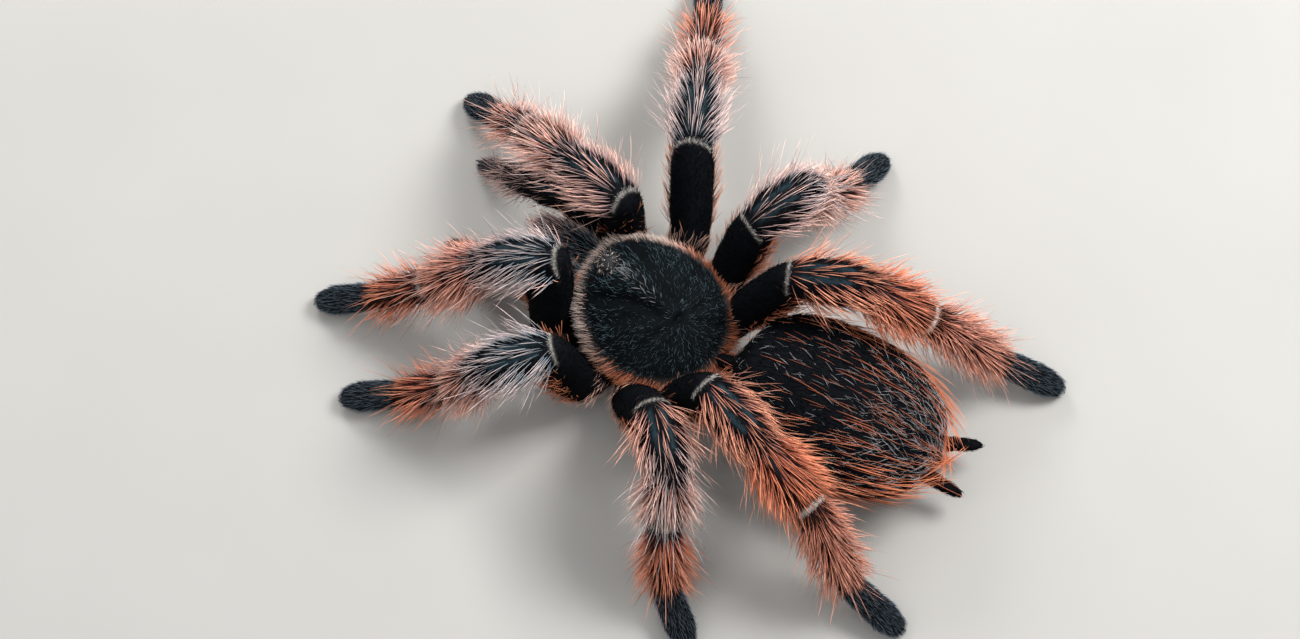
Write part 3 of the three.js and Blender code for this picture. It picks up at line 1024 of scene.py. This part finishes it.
def horn_look(graph):
    """Dark red-brown horn, duller in places."""
    grain = noise(graph, 2600.0)
    base = mixed(graph, grain, dye(12, 7, 6), dye(46, 17, 12))
    return {"Base Color": base, "Roughness": 0.2 + grain * 0.15}


# %% The finishes of the body
CLEAR_COAT = {"Roughness": 0.08, "Coat Weight": 1.0, "Coat Roughness": 0.03}
skin_finish = finish("skin", {"Roughness": 0.75, "Specular IOR Level": 0.02}, skin_look)
shield_finish = finish("shield", {"Roughness": 0.7, "Specular IOR Level": 0.03}, shield_look)
mound_finish = finish("eye mound", {"Roughness": 0.55, "Specular IOR Level": 0.2}, mound_look)
eye_finish = finish("eye", CLEAR_COAT, eye_look)
horn_finish = finish("fang horn", {}, horn_look)
print("finishes of the body:", len(bpy.data.materials))

# %% [markdown]
# ## Hair finishes
#
# A hair is darker at its root than at its tip, so each finish blends two dyes by `along`, which
# every hair carries. On the legs' bristles the dark root is partly the hair's own colour and
# partly painted shade, which darkens the gaps deep in the coat. A second pair of dyes takes over
# where the skin's `pale` mark says so, and `tint`, one random number for each hair, keeps
# neighbours from looking alike.

# %% How a hair takes its colour
HAIR_ROUGHNESS = 0.6


def hair_finish(name, root, tip, pale_root=None, pale_tip=None, contrast=0.5, shine=0.3):
    """A hair's material, from its dyes. contrast is how much neighbours differ."""
    def look(graph):
        along = attribute(graph, "along")
        colour = mixed(graph, along, root, tip)
        if pale_root:
            colour = mixed(graph, attribute(graph, "pale"), colour,
                           mixed(graph, along, pale_root, pale_tip))
        shade = 1 - contrast / 2 + attribute(graph, "tint") * contrast
        return {"Base Color": scaled(graph, colour, shade)}

    return finish(name, {"Roughness": HAIR_ROUGHNESS, "Specular IOR Level": shine}, look)


# %% A finish for each kind of hair
# The bristles' dark root dye is partly painted shade, for the gaps deep in the coat.
ember_finish = hair_finish("ember bristle", dye(128, 42, 18), dye(252, 154, 110),
                           dye(168, 106, 90), dye(255, 226, 214), contrast=0.9)
# The undercoat's near-black dyes are partly its own colour and partly painted shade between the
# bristles.
undercoat_and_shade_finish = hair_finish("dark undercoat", dye(14, 8, 7), dye(62, 28, 19),
                               dye(18, 14, 14), dye(64, 44, 40), contrast=0.7)
knee_finish = hair_finish("knee strand", dye(128, 52, 30), dye(255, 170, 128),
                          dye(86, 118, 132), dye(238, 214, 208), contrast=1.0)
palp_finish = hair_finish("palp bristle", dye(50, 40, 42), dye(220, 184, 174), contrast=0.9)
velvet_finish = hair_finish("black velvet", dye(1, 2, 3), dye(6, 10, 14), shine=0.0)
abdomen_finish = hair_finish("abdomen ember", dye(140, 64, 38), dye(240, 148, 106), contrast=0.8)
wool_finish = hair_finish("abdomen wool", dye(112, 112, 116), dye(212, 208, 208), contrast=0.9)
foot_finish = hair_finish("foot fuzz", dye(18, 24, 29), dye(108, 122, 134),
                          contrast=0.6, shine=0.1)
shield_hair_finish = hair_finish("shield fuzz", dye(32, 48, 56), dye(136, 166, 178), contrast=1.5)
fringe_finish = hair_finish("shield fringe", dye(140, 68, 42), dye(232, 152, 112),
                            dye(184, 160, 148), dye(250, 234, 224), contrast=0.7)
strand_finish = hair_finish("pale strands", dye(110, 78, 72), dye(236, 198, 188), contrast=0.8)
ring_finish = hair_finish("joint rings", dye(150, 146, 144), dye(232, 228, 224), contrast=0.4)
print("finishes in all:", len(bpy.data.materials))

# %% [markdown]
# ## One hair, many hairs
#
# A hair here is a closed three-sided needle with a slight bow. It is made once for each coat, one
# millimetre long. Geometry Nodes scatter roots over a host surface as densely as the host's
# `density` says, turn a needle at each root to the coat's lie, lift it by the host's `rise`, and
# size it by its `reach`. Particle hair would look alike in a render, but it isn't a mesh, so it
# couldn't be handed on.

# %% A needle
NEEDLE_SIDES = 3


def needle(slimness, bow, steps):
    """A template hair along +Z, one millimetre long, bowed towards -X."""
    turns = np.linspace(0, ROUND, NEEDLE_SIDES, endpoint=False)
    points, along = [], []
    for step in range(steps):
        z = step / steps
        radius = slimness / 2 * (0.75 + 0.6 * z) * (1 - z) ** 0.6
        for turned in turns:
            points.append((radius * math.cos(turned) - bow * z * z, radius * math.sin(turned), z))
            along.append(z)
    points.append((-bow, 0.0, 1.0))
    along.append(1.0)
    faces, patches = [tuple(reversed(range(NEEDLE_SIDES)))], [(0, 0), (0.5, 0.3), (1, 0)]
    tip, wide = len(points) - 1, 1 / NEEDLE_SIDES
    for step in range(steps):
        low, high = step / steps, (step + 1) / steps
        for side in range(NEEDLE_SIDES):
            a, b = step * NEEDLE_SIDES + side, step * NEEDLE_SIDES + (side + 1) % NEEDLE_SIDES
            left, right = side * wide, (side + 1) * wide
            if step < steps - 1:
                faces.append((a, b, b + NEEDLE_SIDES, a + NEEDLE_SIDES))
                patches += [(left, low), (right, low), (right, high), (left, high)]
            else:
                faces.append((a, b, tip))
                patches += [(left, low), (right, low), ((left + right) / 2, 1)]
    template = new_piece("needle", points, faces)
    write_attribute(template.data, "along", along)
    write_attribute(template.data, "patch", np.array(patches), "FLOAT2", "CORNER")
    return template


# %% The tree that grows a coat
FLOOR_CLEARANCE = 0.12
COAT_INPUTS = [
    ("Host", "Geometry", None), ("Needle", "Object", None), ("Spacing", "Float", 0.3),
    ("Hairs per mm2", "Float", 4.0), ("Length", "Float", 1.0), ("Length spread", "Float", 0.3),
    ("Lift", "Float", 0.4), ("Lift spread", "Float", 0.3), ("Stray", "Float", 0.2),
    ("Seed", "Int", 1), ("Finish", "Material", None),
]


def coat_tree():
    """The tree that covers a host with hairs."""
    graph = geometry_graph("coat", COAT_INPUTS, "Coat")
    given = graph.node("NodeGroupInput")

    def chance(low, high, number):
        """A random number for each hair, of its own for each number."""
        sockets = {"Min": low, "Max": high, "Seed": given["Seed"] + number}
        return graph.node("FunctionNodeRandomValue", {"data_type": "FLOAT"}, sockets)["Value"]

    def vectors(operation, first, second):
        """Two vectors made one."""
        settings, sockets = {"operation": operation}, {0: first, 1: second}
        return graph.node("ShaderNodeVectorMath", settings, sockets)["Vector"]

    roots = graph.node("GeometryNodeDistributePointsOnFaces", {"distribute_method": "POISSON"}, {
        "Mesh": given["Host"],
        "Distance Min": given["Spacing"] * MM,
        "Density Max": given["Hairs per mm2"] * (1 / MM**2),
        "Density Factor": stored(graph, "density"),
        "Seed": given["Seed"],
    })
    normal = roots["Normal"]
    lie = stored(graph, "lie", "FLOAT_VECTOR")
    sideways = vectors("CROSS_PRODUCT", normal, lie)
    lift = given["Lift"] * stored(graph, "rise")
    lift = lift * (1 + given["Lift spread"] * chance(-1.0, 1.0, 1))
    stray = given["Stray"] * chance(-1.0, 1.0, 2)
    leaning = vectors("ADD", lie, scaled(graph, normal, lift))
    leaning = vectors("ADD", leaning, scaled(graph, sideways, stray))
    axes = {"primary_axis": "Z", "secondary_axis": "X"}
    sockets = {"Primary Axis": leaning, "Secondary Axis": normal}
    turned = graph.node("FunctionNodeAxesToRotation", axes, sockets)["Rotation"]
    length = given["Length"] * stored(graph, "reach")
    length = length * (1 - given["Length spread"] * chance(0.0, 1.0, 3))
    shape = graph.node("GeometryNodeObjectInfo", None, {"Object": given["Needle"]})["Geometry"]
    hairs = graph.node("GeometryNodeInstanceOnPoints", None, {
        "Points": roots["Points"], "Instance": shape, "Rotation": turned, "Scale": length,
    })["Instances"]
    settings = {"data_type": "FLOAT", "domain": "INSTANCE"}
    sockets = {"Geometry": hairs, "Name": "tint", "Value": chance(0.0, 1.0, 4)}
    hairs = graph.node("GeometryNodeStoreNamedAttribute", settings, sockets)["Geometry"]
    mesh = graph.node("GeometryNodeRealizeInstances", None, {"Geometry": hairs})["Geometry"]
    position = graph.node("GeometryNodeInputPosition")["Position"]
    parts = graph.node("ShaderNodeSeparateXYZ", None, {0: position})
    height = parts["Z"].math("MAXIMUM", FLOOR_CLEARANCE * MM)
    sockets = {"X": parts["X"], "Y": parts["Y"], "Z": height}
    on_floor = graph.node("ShaderNodeCombineXYZ", None, sockets)["Vector"]
    sockets = {"Geometry": mesh, "Position": on_floor}
    mesh = graph.node("GeometryNodeSetPosition", None, sockets)["Geometry"]
    sockets = {"Geometry": mesh, "Material": given["Finish"]}
    mesh = graph.node("GeometryNodeSetMaterial", None, sockets)["Geometry"]
    graph.node("NodeGroupOutput", None, {0: mesh})
    return graph.tree


hair_tree = coat_tree()
print("coat tree nodes:", len(hair_tree.nodes))

# %% [markdown]
# ## Growing a coat
#
# A coat is grown by one call: its density, reach and rise are written on the host, the tree runs,
# and the result is kept as a plain mesh. Each hair also gets a small patch of the map `OFBake`,
# where its root lies on the host's unwrap, so that the finishes can be baked into it piece by piece.

# %% Grow one coat
PATCH = 0.003  # the size of a hair's patch, beside the whole map
MAP_MARGIN = 0.02
SPENT = ("root_place", "patch", "lie", "density", "reach", "rise")  # not needed once it is grown
coats = []  # (object, slot)


def baking_map(mesh):
    """Gives each hair a small patch at its root's place, spread to fill the map."""
    root = read(mesh.attributes["root_place"].data, "vector", 2)
    root = root[counts_of(mesh.loops, "vertex_index")]
    patch = read(mesh.attributes["patch"].data, "vector", 2)
    low, high = root.min(0), root.max(0)
    spread = MAP_MARGIN + (1 - 2 * MAP_MARGIN) * (root - low) / (high - low)
    for name in SPENT:
        mesh.attributes.remove(mesh.attributes[name])
    layer = mesh.uv_layers.new(name="OFBake", do_init=False)
    layer.uv.foreach_set("vector", (spread + PATCH * (patch - 0.5)).astype(np.float32).ravel())


def grow(name, host, density, reach, shape, slot, rise=1.0, **inputs):
    """A coat of hairs on a host, as one plain mesh.

    shape is the needle's slimness, bow and steps. The inputs are the tree's own, with _ for a space.
    """
    for key, values in (("density", density), ("reach", reach), ("rise", rise)):
        write_attribute(host.data, key, values * np.ones(len(host.data.vertices)))
    given = {key.replace("_", " "): value for key, value in inputs.items()}
    mesh = applied_tree(host, hair_tree, {"Needle": needle(*shape), **given})
    baking_map(mesh)
    mesh.name = name
    coats.append((placed(name, mesh), slot))
    print(name, "triangles:", sum(len(f.vertices) - 2 for f in mesh.polygons))


# %% [markdown]
# ## Claws
#
# Each foot ends in two tiny hooked claws, and each palp in one. They are all alike, so one hook is
# modelled, and Geometry Nodes set a copy at every toe, turned to the way that the toe points.

# %% One hook
CLAW_LENGTH, CLAW_WIDTH, CLAW_GAP = 0.9, 0.34, 0.8
CLAW_BEND = 1.9  # radians from its root to its point
CLAW_TAPER = 0.85
CLAW_RINGS, CLAW_SIDES = 6, 6
TOE_TIP, CLAW_RISE = 0.75, 0.2  # where a claw leaves the toe, from its last joint


def hook():
    """A tapering tube that starts along +X and curves down."""
    turns = np.linspace(0, ROUND, CLAW_SIDES, endpoint=False)[:, None]
    points = []
    for t in np.linspace(0, 1, CLAW_RINGS):
        out = np.array([math.sin(CLAW_BEND * t), 0, math.cos(CLAW_BEND * t)])
        radius = CLAW_WIDTH / 2 * (1 - CLAW_TAPER * t)
        spot = (out - UP) * CLAW_LENGTH
        points.append(spot + radius * (np.cos(turns) * out - np.sin(turns) * np.array([0, 1, 0])))
    last = (CLAW_RINGS - 1) * CLAW_SIDES
    ends = [tuple(range(CLAW_SIDES)), tuple(reversed(range(last, last + CLAW_SIDES)))]
    return new_piece("hook", np.concatenate(points), ring_faces(CLAW_RINGS, CLAW_SIDES) + ends)


# %% Where the hooks go
def claw_roots():
    """A piece with one point for each claw, which holds the way its toe points."""
    spots, ways = [], []
    for (pair, _), joints in limb_joints.items():
        forward = unit((joints[-1] - joints[-2]) * (1, 1, 0))
        toe = joints[-1] + TOE_TIP * forward + CLAW_RISE * UP
        gaps = (0,) if pair == "palp" else (-CLAW_GAP / 2, CLAW_GAP / 2)
        for gap in gaps:
            spots.append(toe + gap * np.cross(UP, forward))
            ways.append(forward)
    roots = new_piece("claws", spots, [])
    write_attribute(roots.data, "way", ways, "FLOAT_VECTOR")
    return roots


# %% The tree that sets a hook at each root
def claw_tree():
    """One hook for each point, turned the way that its toe points."""
    inputs = [("Roots", "Geometry", None), ("Hook", "Object", None), ("Finish", "Material", None)]
    graph = geometry_graph("claws", inputs, "Claws")
    given = graph.node("NodeGroupInput")
    axes = {"primary_axis": "Z", "secondary_axis": "X"}
    sockets = {"Primary Axis": tuple(UP), "Secondary Axis": stored(graph, "way", "FLOAT_VECTOR")}
    turned = graph.node("FunctionNodeAxesToRotation", axes, sockets)["Rotation"]
    shape = graph.node("GeometryNodeObjectInfo", None, {"Object": given["Hook"]})["Geometry"]
    sockets = {"Points": given["Roots"], "Instance": shape, "Rotation": turned}
    mesh = graph.node("GeometryNodeInstanceOnPoints", None, sockets)["Instances"]
    mesh = graph.node("GeometryNodeRealizeInstances", None, {"Geometry": mesh})["Geometry"]
    sockets = {"Geometry": mesh, "Material": given["Finish"]}
    mesh = graph.node("GeometryNodeSetMaterial", None, sockets)["Geometry"]
    graph.node("NodeGroupOutput", None, {0: mesh})
    return graph.tree


claws = claw_roots()
claws.data = applied_tree(claws, claw_tree(), {"Hook": hook(), "Finish": horn_finish})
claws.data.shade_smooth()
print("claw faces:", len(claws.data.polygons))

# %% [markdown]
# ## The coats
#
# Different hairs do different work. Long bristles stand out from the lower legs, a short dense
# undercoat fills between them, and velvet covers the femora and the trunk. The abdomen has long
# curved hairs, thinly spread over its velvet. Each kind is a coat of its own. The bristles are
# parted by pair of legs and the velvet by side, so that no piece grows too heavy.

# %% Where the legs' hair grows, how long, and how upright
is_palp = pair == "palp"
haired = (1 - bare) * (1 - np.clip(ring, 0, 1))
on_shins = (is_tibia | is_metatarsus) * haired
past_rim = smoothstep(KNEE_RIM, KNEE_RIM + 0.6, from_start)
dorsal = 1 - smoothstep(1.0, 1.8, np.abs(turn))
LONGEST_BRISTLE, LONGEST_STRAND = 5.6, 4.9
OVERHANG = 0.9  # how far past its own segment a hair on top may reach
side_overhang = OVERHANG + 2.4 * (1 - dorsal)
room = np.clip((to_end + side_overhang) / LONGEST_BRISTLE, 0.2, 1)
bristle_reach = np.minimum(0.75 + 0.25 * smoothstep(0.0, 0.35, place), room)
from_joint = smoothstep(0.0, 0.9, from_start + 0.8 * (is_tibia & (pair == "3")))
thickness = 0.7 * from_joint * (1 + 0.8 * is_tibia * (pair == "3"))
thickness *= 1 + 0.4 * (1 - smoothstep(0.15, 0.5, place))
thickness *= 1 - 0.5 * is_metatarsus * np.isin(pair, ("1", "2"))
upright = 0.55 + 0.65 * smoothstep(0.3, 1.3, np.abs(turn))
print("points with hair on the lower legs:", int((on_shins > 0).sum()))

# %% Bristles and undercoat of the legs
for number, name in enumerate("1234"):
    grow(
        f"bristles_legs_{name}", skin,
        on_shins * (pair == name) * thickness, bristle_reach,
        (0.043, 0.1, 3), "hair_orange", rise=upright,
        Spacing=0.3, Hairs_per_mm2=6.6, Length=LONGEST_BRISTLE, Length_spread=0.45,
        Lift=0.8, Lift_spread=0.4, Stray=0.2, Seed=11 + number, Finish=ember_finish,
    )
grow(
    "undercoat_legs", skin, (on_shins + 0.15 * is_patella * haired) * ~is_palp,
    0.6 + 0.4 * haired, (0.06, 0.2, 2), "hair_orange", rise=upright,
    Spacing=0.26, Hairs_per_mm2=4.5, Length=2.0, Length_spread=0.4,
    Lift=0.5, Lift_spread=0.6, Stray=0.3, Seed=21, Finish=undercoat_and_shade_finish,
)

# %% Bristles of the palps, and the sparse long hairs that stand out past all the others
palp_end = is_tibia + (kind == "tarsus") * (1 - smoothstep(0.75, 0.95, place))
grow(
    "bristles_palps", skin, is_palp * (palp_end + 0.4 * is_patella * past_rim) * haired,
    0.7 + 0.3 * is_tibia, (0.04, 0.12, 3), "hair_pink", rise=upright,
    Spacing=0.25, Hairs_per_mm2=4.5, Length=4.2, Length_spread=0.5,
    Lift=0.95, Lift_spread=0.5, Stray=0.35, Seed=17, Finish=palp_finish,
)
grow(
    "leg_wisps", skin, (on_shins + 0.5 * is_patella * past_rim) * ~is_palp, 1.0,
    (0.016, 0.12, 4), "hair_pink", rise=0.7 + 0.3 * upright,
    Spacing=0.7, Hairs_per_mm2=0.75, Length=8.2, Length_spread=0.4,
    Lift=1.1, Lift_spread=0.4, Stray=0.4, Seed=19, Finish=knee_finish,
)

# %% Strands of the knees
at_knee_end = smoothstep(0.6, 0.9, place)
strands = is_patella * haired * past_rim * ~is_palp
strands *= np.where(np.isin(pair, ("1", "2")), 1, 0.6 + 1.4 * at_knee_end)
grow(
    "knee_strands", skin, strands,
    np.clip((to_end + side_overhang + 1.4) / LONGEST_STRAND, 0.45 + 0.3 * at_knee_end, 1),
    (0.046, 0.16, 4), "hair_pink", rise=upright,
    Spacing=0.36, Hairs_per_mm2=2.6, Length=LONGEST_STRAND, Length_spread=0.35,
    Lift=0.5, Lift_spread=0.6, Stray=0.14, Seed=23, Finish=knee_finish,
)
grow(
    "joint_rings", skin, np.clip(2 * ring, 0, 1), 1.0, (0.13, 0.1, 2), "hair_grey",
    Spacing=0.1, Hairs_per_mm2=22.0, Length=0.6, Length_spread=0.4,
    Lift=0.7, Lift_spread=0.4, Stray=0.3, Seed=22, Finish=ring_finish,
)

# %% Velvet of the upper legs, jaws and trunk
is_velvet = np.isin(kind, ("hip", "femur", "trunk", "jaw", "spinneret", "waist"))
is_abdomen = kind == "abdomen"
velvety = is_velvet + 0.6 * (is_patella | (is_palp & is_tibia))
for number, name in enumerate(("left", "right")):
    beside = (skin_points[:, 0] > origin[0]) == (name == "left")
    grow(
        f"velvet_{name}", skin, velvety * beside, 1.0, (0.11, 0.2, 2), "velvet",
        Spacing=0.24, Hairs_per_mm2=6.0, Length=0.95, Length_spread=0.4,
        Lift=0.45, Lift_spread=0.5, Stray=0.3, Seed=31 + number, Finish=velvet_finish,
    )
grow(
    "velvet_abdomen", skin, is_abdomen, 1.0, (0.11, 0.25, 2), "velvet",
    Spacing=0.26, Hairs_per_mm2=6.0, Length=1.1, Length_spread=0.4,
    Lift=0.4, Lift_spread=0.5, Stray=0.3, Seed=41, Finish=velvet_finish,
)

# %% Long hairs and wool of the abdomen
rearward = smoothstep(0.15, 0.9, place)
flank = smoothstep(0.7, 1.4, np.abs(turn)) * (1 - 0.5 * smoothstep(2.2, 2.8, np.abs(turn)))
grow(
    "abdomen_long_hairs", skin, is_abdomen * (0.07 + 0.22 * rearward + 0.32 * flank),
    0.65 + 0.2 * rearward + 0.15 * flank, (0.019, 0.14, 6), "hair_orange",
    rise=1 + 0.4 * flank, Spacing=0.4, Hairs_per_mm2=1.7, Length=8.6, Length_spread=0.5,
    Lift=0.17, Lift_spread=0.7, Stray=0.12, Seed=51, Finish=abdomen_finish,
)
grow(
    "abdomen_wool", skin, is_abdomen * dorsal * (0.1 + 0.9 * smoothstep(0.45, 0.95, place)),
    1.0, (0.036, 0.45, 3), "hair_grey",
    Spacing=0.26, Hairs_per_mm2=4.6, Length=2.6, Length_spread=0.5,
    Lift=0.3, Lift_spread=0.6, Stray=0.8, Seed=53, Finish=wool_finish,
)

# %% Fringes under the upper legs
beneath = smoothstep(1.2, 1.7, np.abs(turn))
on_hip = kind == "hip"
fringed = (kind == "femur") * beneath + on_hip * (0.3 * beneath + smoothstep(0.5, 0.8, place))
fringed *= np.where(pair == "1", 0.15, 1.0)
grow(
    "leg_fringes", skin, fringed, 1 - 0.45 * on_hip, (0.034, 0.15, 3), "hair_orange",
    Spacing=0.25, Hairs_per_mm2=3.2, Length=4.6, Length_spread=0.5,
    Lift=0.55, Lift_spread=0.5, Stray=0.4, Seed=55, Finish=fringe_finish,
)

# %% Strands and fuzz of the jaws
is_jaw = kind == "jaw"
grow(
    "jaw_strands", skin, is_jaw * (0.35 + 0.65 * smoothstep(0.2, 0.7, place)),
    0.55 + 0.45 * smoothstep(0.0, 0.8, place), (0.034, 0.1, 4), "hair_pink",
    Spacing=0.2, Hairs_per_mm2=4.5, Length=3.6, Length_spread=0.45,
    Lift=0.45, Lift_spread=0.5, Stray=0.3, Seed=57, Finish=strand_finish,
)
grow(
    "jaw_fuzz", skin, is_jaw, 1.0, (0.06, 0.2, 2), "hair_grey",
    Spacing=0.12, Hairs_per_mm2=9.0, Length=1.4, Length_spread=0.5,
    Lift=0.5, Lift_spread=0.5, Stray=0.4, Seed=58, Finish=shield_hair_finish,
)

# %% Fuzz of the feet
grow(
    "foot_fuzz", skin, kind == "tarsus", 1.0, (0.09, 0.15, 2), "hair_grey",
    Spacing=0.17, Hairs_per_mm2=12.0, Length=1.2, Length_spread=0.5,
    Lift=0.5, Lift_spread=0.5, Stray=0.3, Seed=61, Finish=foot_finish,
)

# %% Fuzz and fringe of the shield
fovea_distance = np.linalg.norm(from_fovea, axis=1)
in_head = ahead * (1 - smoothstep(13.0, 14.5, fovea_distance))
midline = bump(shield_points[:, 0], FOVEA[0], 0.9) * in_head
fovea_angle = np.abs(np.arctan2(from_fovea[:, 0], -from_fovea[:, 1]))
in_furrow = bump((fovea_angle - HEAD_FURROW) * fovea_distance, 0, 1.3) * (fovea_distance > 2)
grow(
    "shield_fuzz", shield, facing_up * (0.45 + 0.55 * midline) * (1 - 0.85 * in_furrow),
    0.75 + 0.25 * ahead, (0.034, 0.3, 2), "hair_grey",
    Spacing=0.1, Hairs_per_mm2=12.0, Length=1.4, Length_spread=0.6,
    Lift=0.35, Lift_spread=0.8, Stray=0.9, Seed=71, Finish=shield_hair_finish,
)
grow(
    "shield_streak", shield, midline * facing_up, 1.0, (0.07, 0.3, 2), "hair_grey",
    Spacing=0.14, Hairs_per_mm2=9.0, Length=1.5, Length_spread=0.5,
    Lift=0.4, Lift_spread=0.6, Stray=0.7, Seed=73, Finish=wool_finish,
)
on_rim = bump(edge_share, 0.965, 0.05) * smoothstep(-0.5, 0.2, shield_normals[:, 2])
grow(
    "shield_fringe", shield, on_rim, 1 - 0.25 * ahead, (0.045, 0.15, 3), "hair_pink",
    Spacing=0.14, Hairs_per_mm2=20.0, Length=2.7, Length_spread=0.5,
    Lift=0.4, Lift_spread=0.8, Stray=0.3, Seed=81, Finish=fringe_finish,
)

# %% Pale hairs round the eye mound
mound_at = points_of(mound.data)
mound_normals = normals_of(mound.data)
downwards = unit(mound_at - mound_at.mean(0)) - 0.5 * UP
write_attribute(mound.data, "lie", laid_on(downwards, mound_normals), "FLOAT_VECTOR")
write_attribute(mound.data, "root_place", plan_place(mound.data, mound_at), "FLOAT2", "CORNER")
write_attribute(mound.data, "pale", np.ones(len(mound_at)))
grow(
    "mound_fuzz", mound, bump(mound_normals[:, 2], 0.25, 0.2) + 0.15 * (mound_normals[:, 2] > 0.5),
    1.0, (0.07, 0.2, 2), "hair_pink",
    Spacing=0.12, Hairs_per_mm2=16.0, Length=1.1, Length_spread=0.4,
    Lift=0.6, Lift_spread=0.5, Stray=0.4, Seed=91, Finish=fringe_finish,
)

# %% [markdown]
# ## Put the pieces in the row
#
# Each finished piece rides on the one body, and the CAD nodes that a piece stands for are hidden.

# %% Hand the pieces to the frame
HARD_NODES = ("carapace", "eye_mound", "fang_left", "fang_right")
FLESH_NODES = [name for name in frame["nodes"] if name not in HARD_NODES]
BODY_PIECES = [  # piece, finish, slot, CAD nodes that it stands for
    (skin, skin_finish, "velvet", FLESH_NODES),
    (shield, shield_finish, "shell", ["carapace"]),
    (mound, mound_finish, "shell", ["eye_mound"]),
    (eyes, eye_finish, "eye", []),
    (claws, horn_finish, "horn", []),
    (fangs[0], horn_finish, "horn", ["fang_left"]),
    (fangs[1], horn_finish, "horn", ["fang_right"]),
]
for piece, look, slot, nodes in BODY_PIECES:
    piece.data.materials.clear()
    piece.data.materials.append(look)
    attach(piece, "root")
    if nodes:
        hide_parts(*nodes)
for coat, slot in coats:
    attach(coat, "root")
print("pieces:", len(BODY_PIECES) + len(coats), "CAD nodes hidden:", len(frame["nodes"]))

# %% [markdown]
# ## Floor and light
#
# The floor is plain and pale, so that the dark coat reads against it. One large soft lamp gives
# the form, a second fills the far side, and a third, low and from the other side, picks out the
# bristles' tips. A very wide one high above lights the floor evenly.

# %% Floor
FLOOR_HALF = 4000.0
corners = [(-1, -1, 0), (1, -1, 0), (1, 1, 0), (-1, 1, 0)]
floor = new_piece("floor", np.array(corners, float) * FLOOR_HALF, [(0, 1, 2, 3)])


def floor_look(graph):
    """Plain and pale, with the faintest cloud."""
    return {"Base Color": mixed(graph, noise(graph, 30.0), dye(158, 156, 152), dye(164, 162, 158))}


floor.data.materials.append(finish("floor", {"Roughness": 0.9}, floor_look))
print("floor, metres across:", 2 * FLOOR_HALF * MM)

# %% Lamps and sky
SKY_COLOUR, SKY_STRENGTH = dye(226, 230, 236), 0.3
LAMPS = [  # name, azimuth and elevation in degrees, distance, size, watts
    ("key", 240, 50, 560, 240, 4.2),
    ("fill", 60, 50, 600, 420, 0.9),
    ("rim", 330, 32, 560, 200, 2.1),
    ("ceiling", 0, 89, 4000, 7000, 135.0),
]


def lamp(name, azimuth, elevation, distance, size, power):
    """A square lamp that looks at the floor's middle."""
    light = bpy.data.lights.new(name, "AREA")
    light.energy = power
    light.size = size * MM
    lit = placed(name, light)
    a, e = math.radians(azimuth), math.radians(elevation)
    away = Vector((math.sin(a) * math.cos(e), -math.cos(a) * math.cos(e), math.sin(e)))
    lit.location = away * distance * MM
    lit.rotation_euler = away.to_track_quat("Z", "Y").to_euler()


for settings in LAMPS:
    lamp(*settings)
sky = bpy.data.worlds.new("sky")
sky.use_nodes = True
background = sky.node_tree.nodes["Background"]
background.inputs["Color"].default_value = SKY_COLOUR
background.inputs["Strength"].default_value = SKY_STRENGTH
bpy.context.scene.world = sky
bpy.context.scene.view_settings.view_transform = "Standard"
print("lamps:", len(LAMPS))

# %% Bring the scene up to date
bpy.context.view_layer.update()
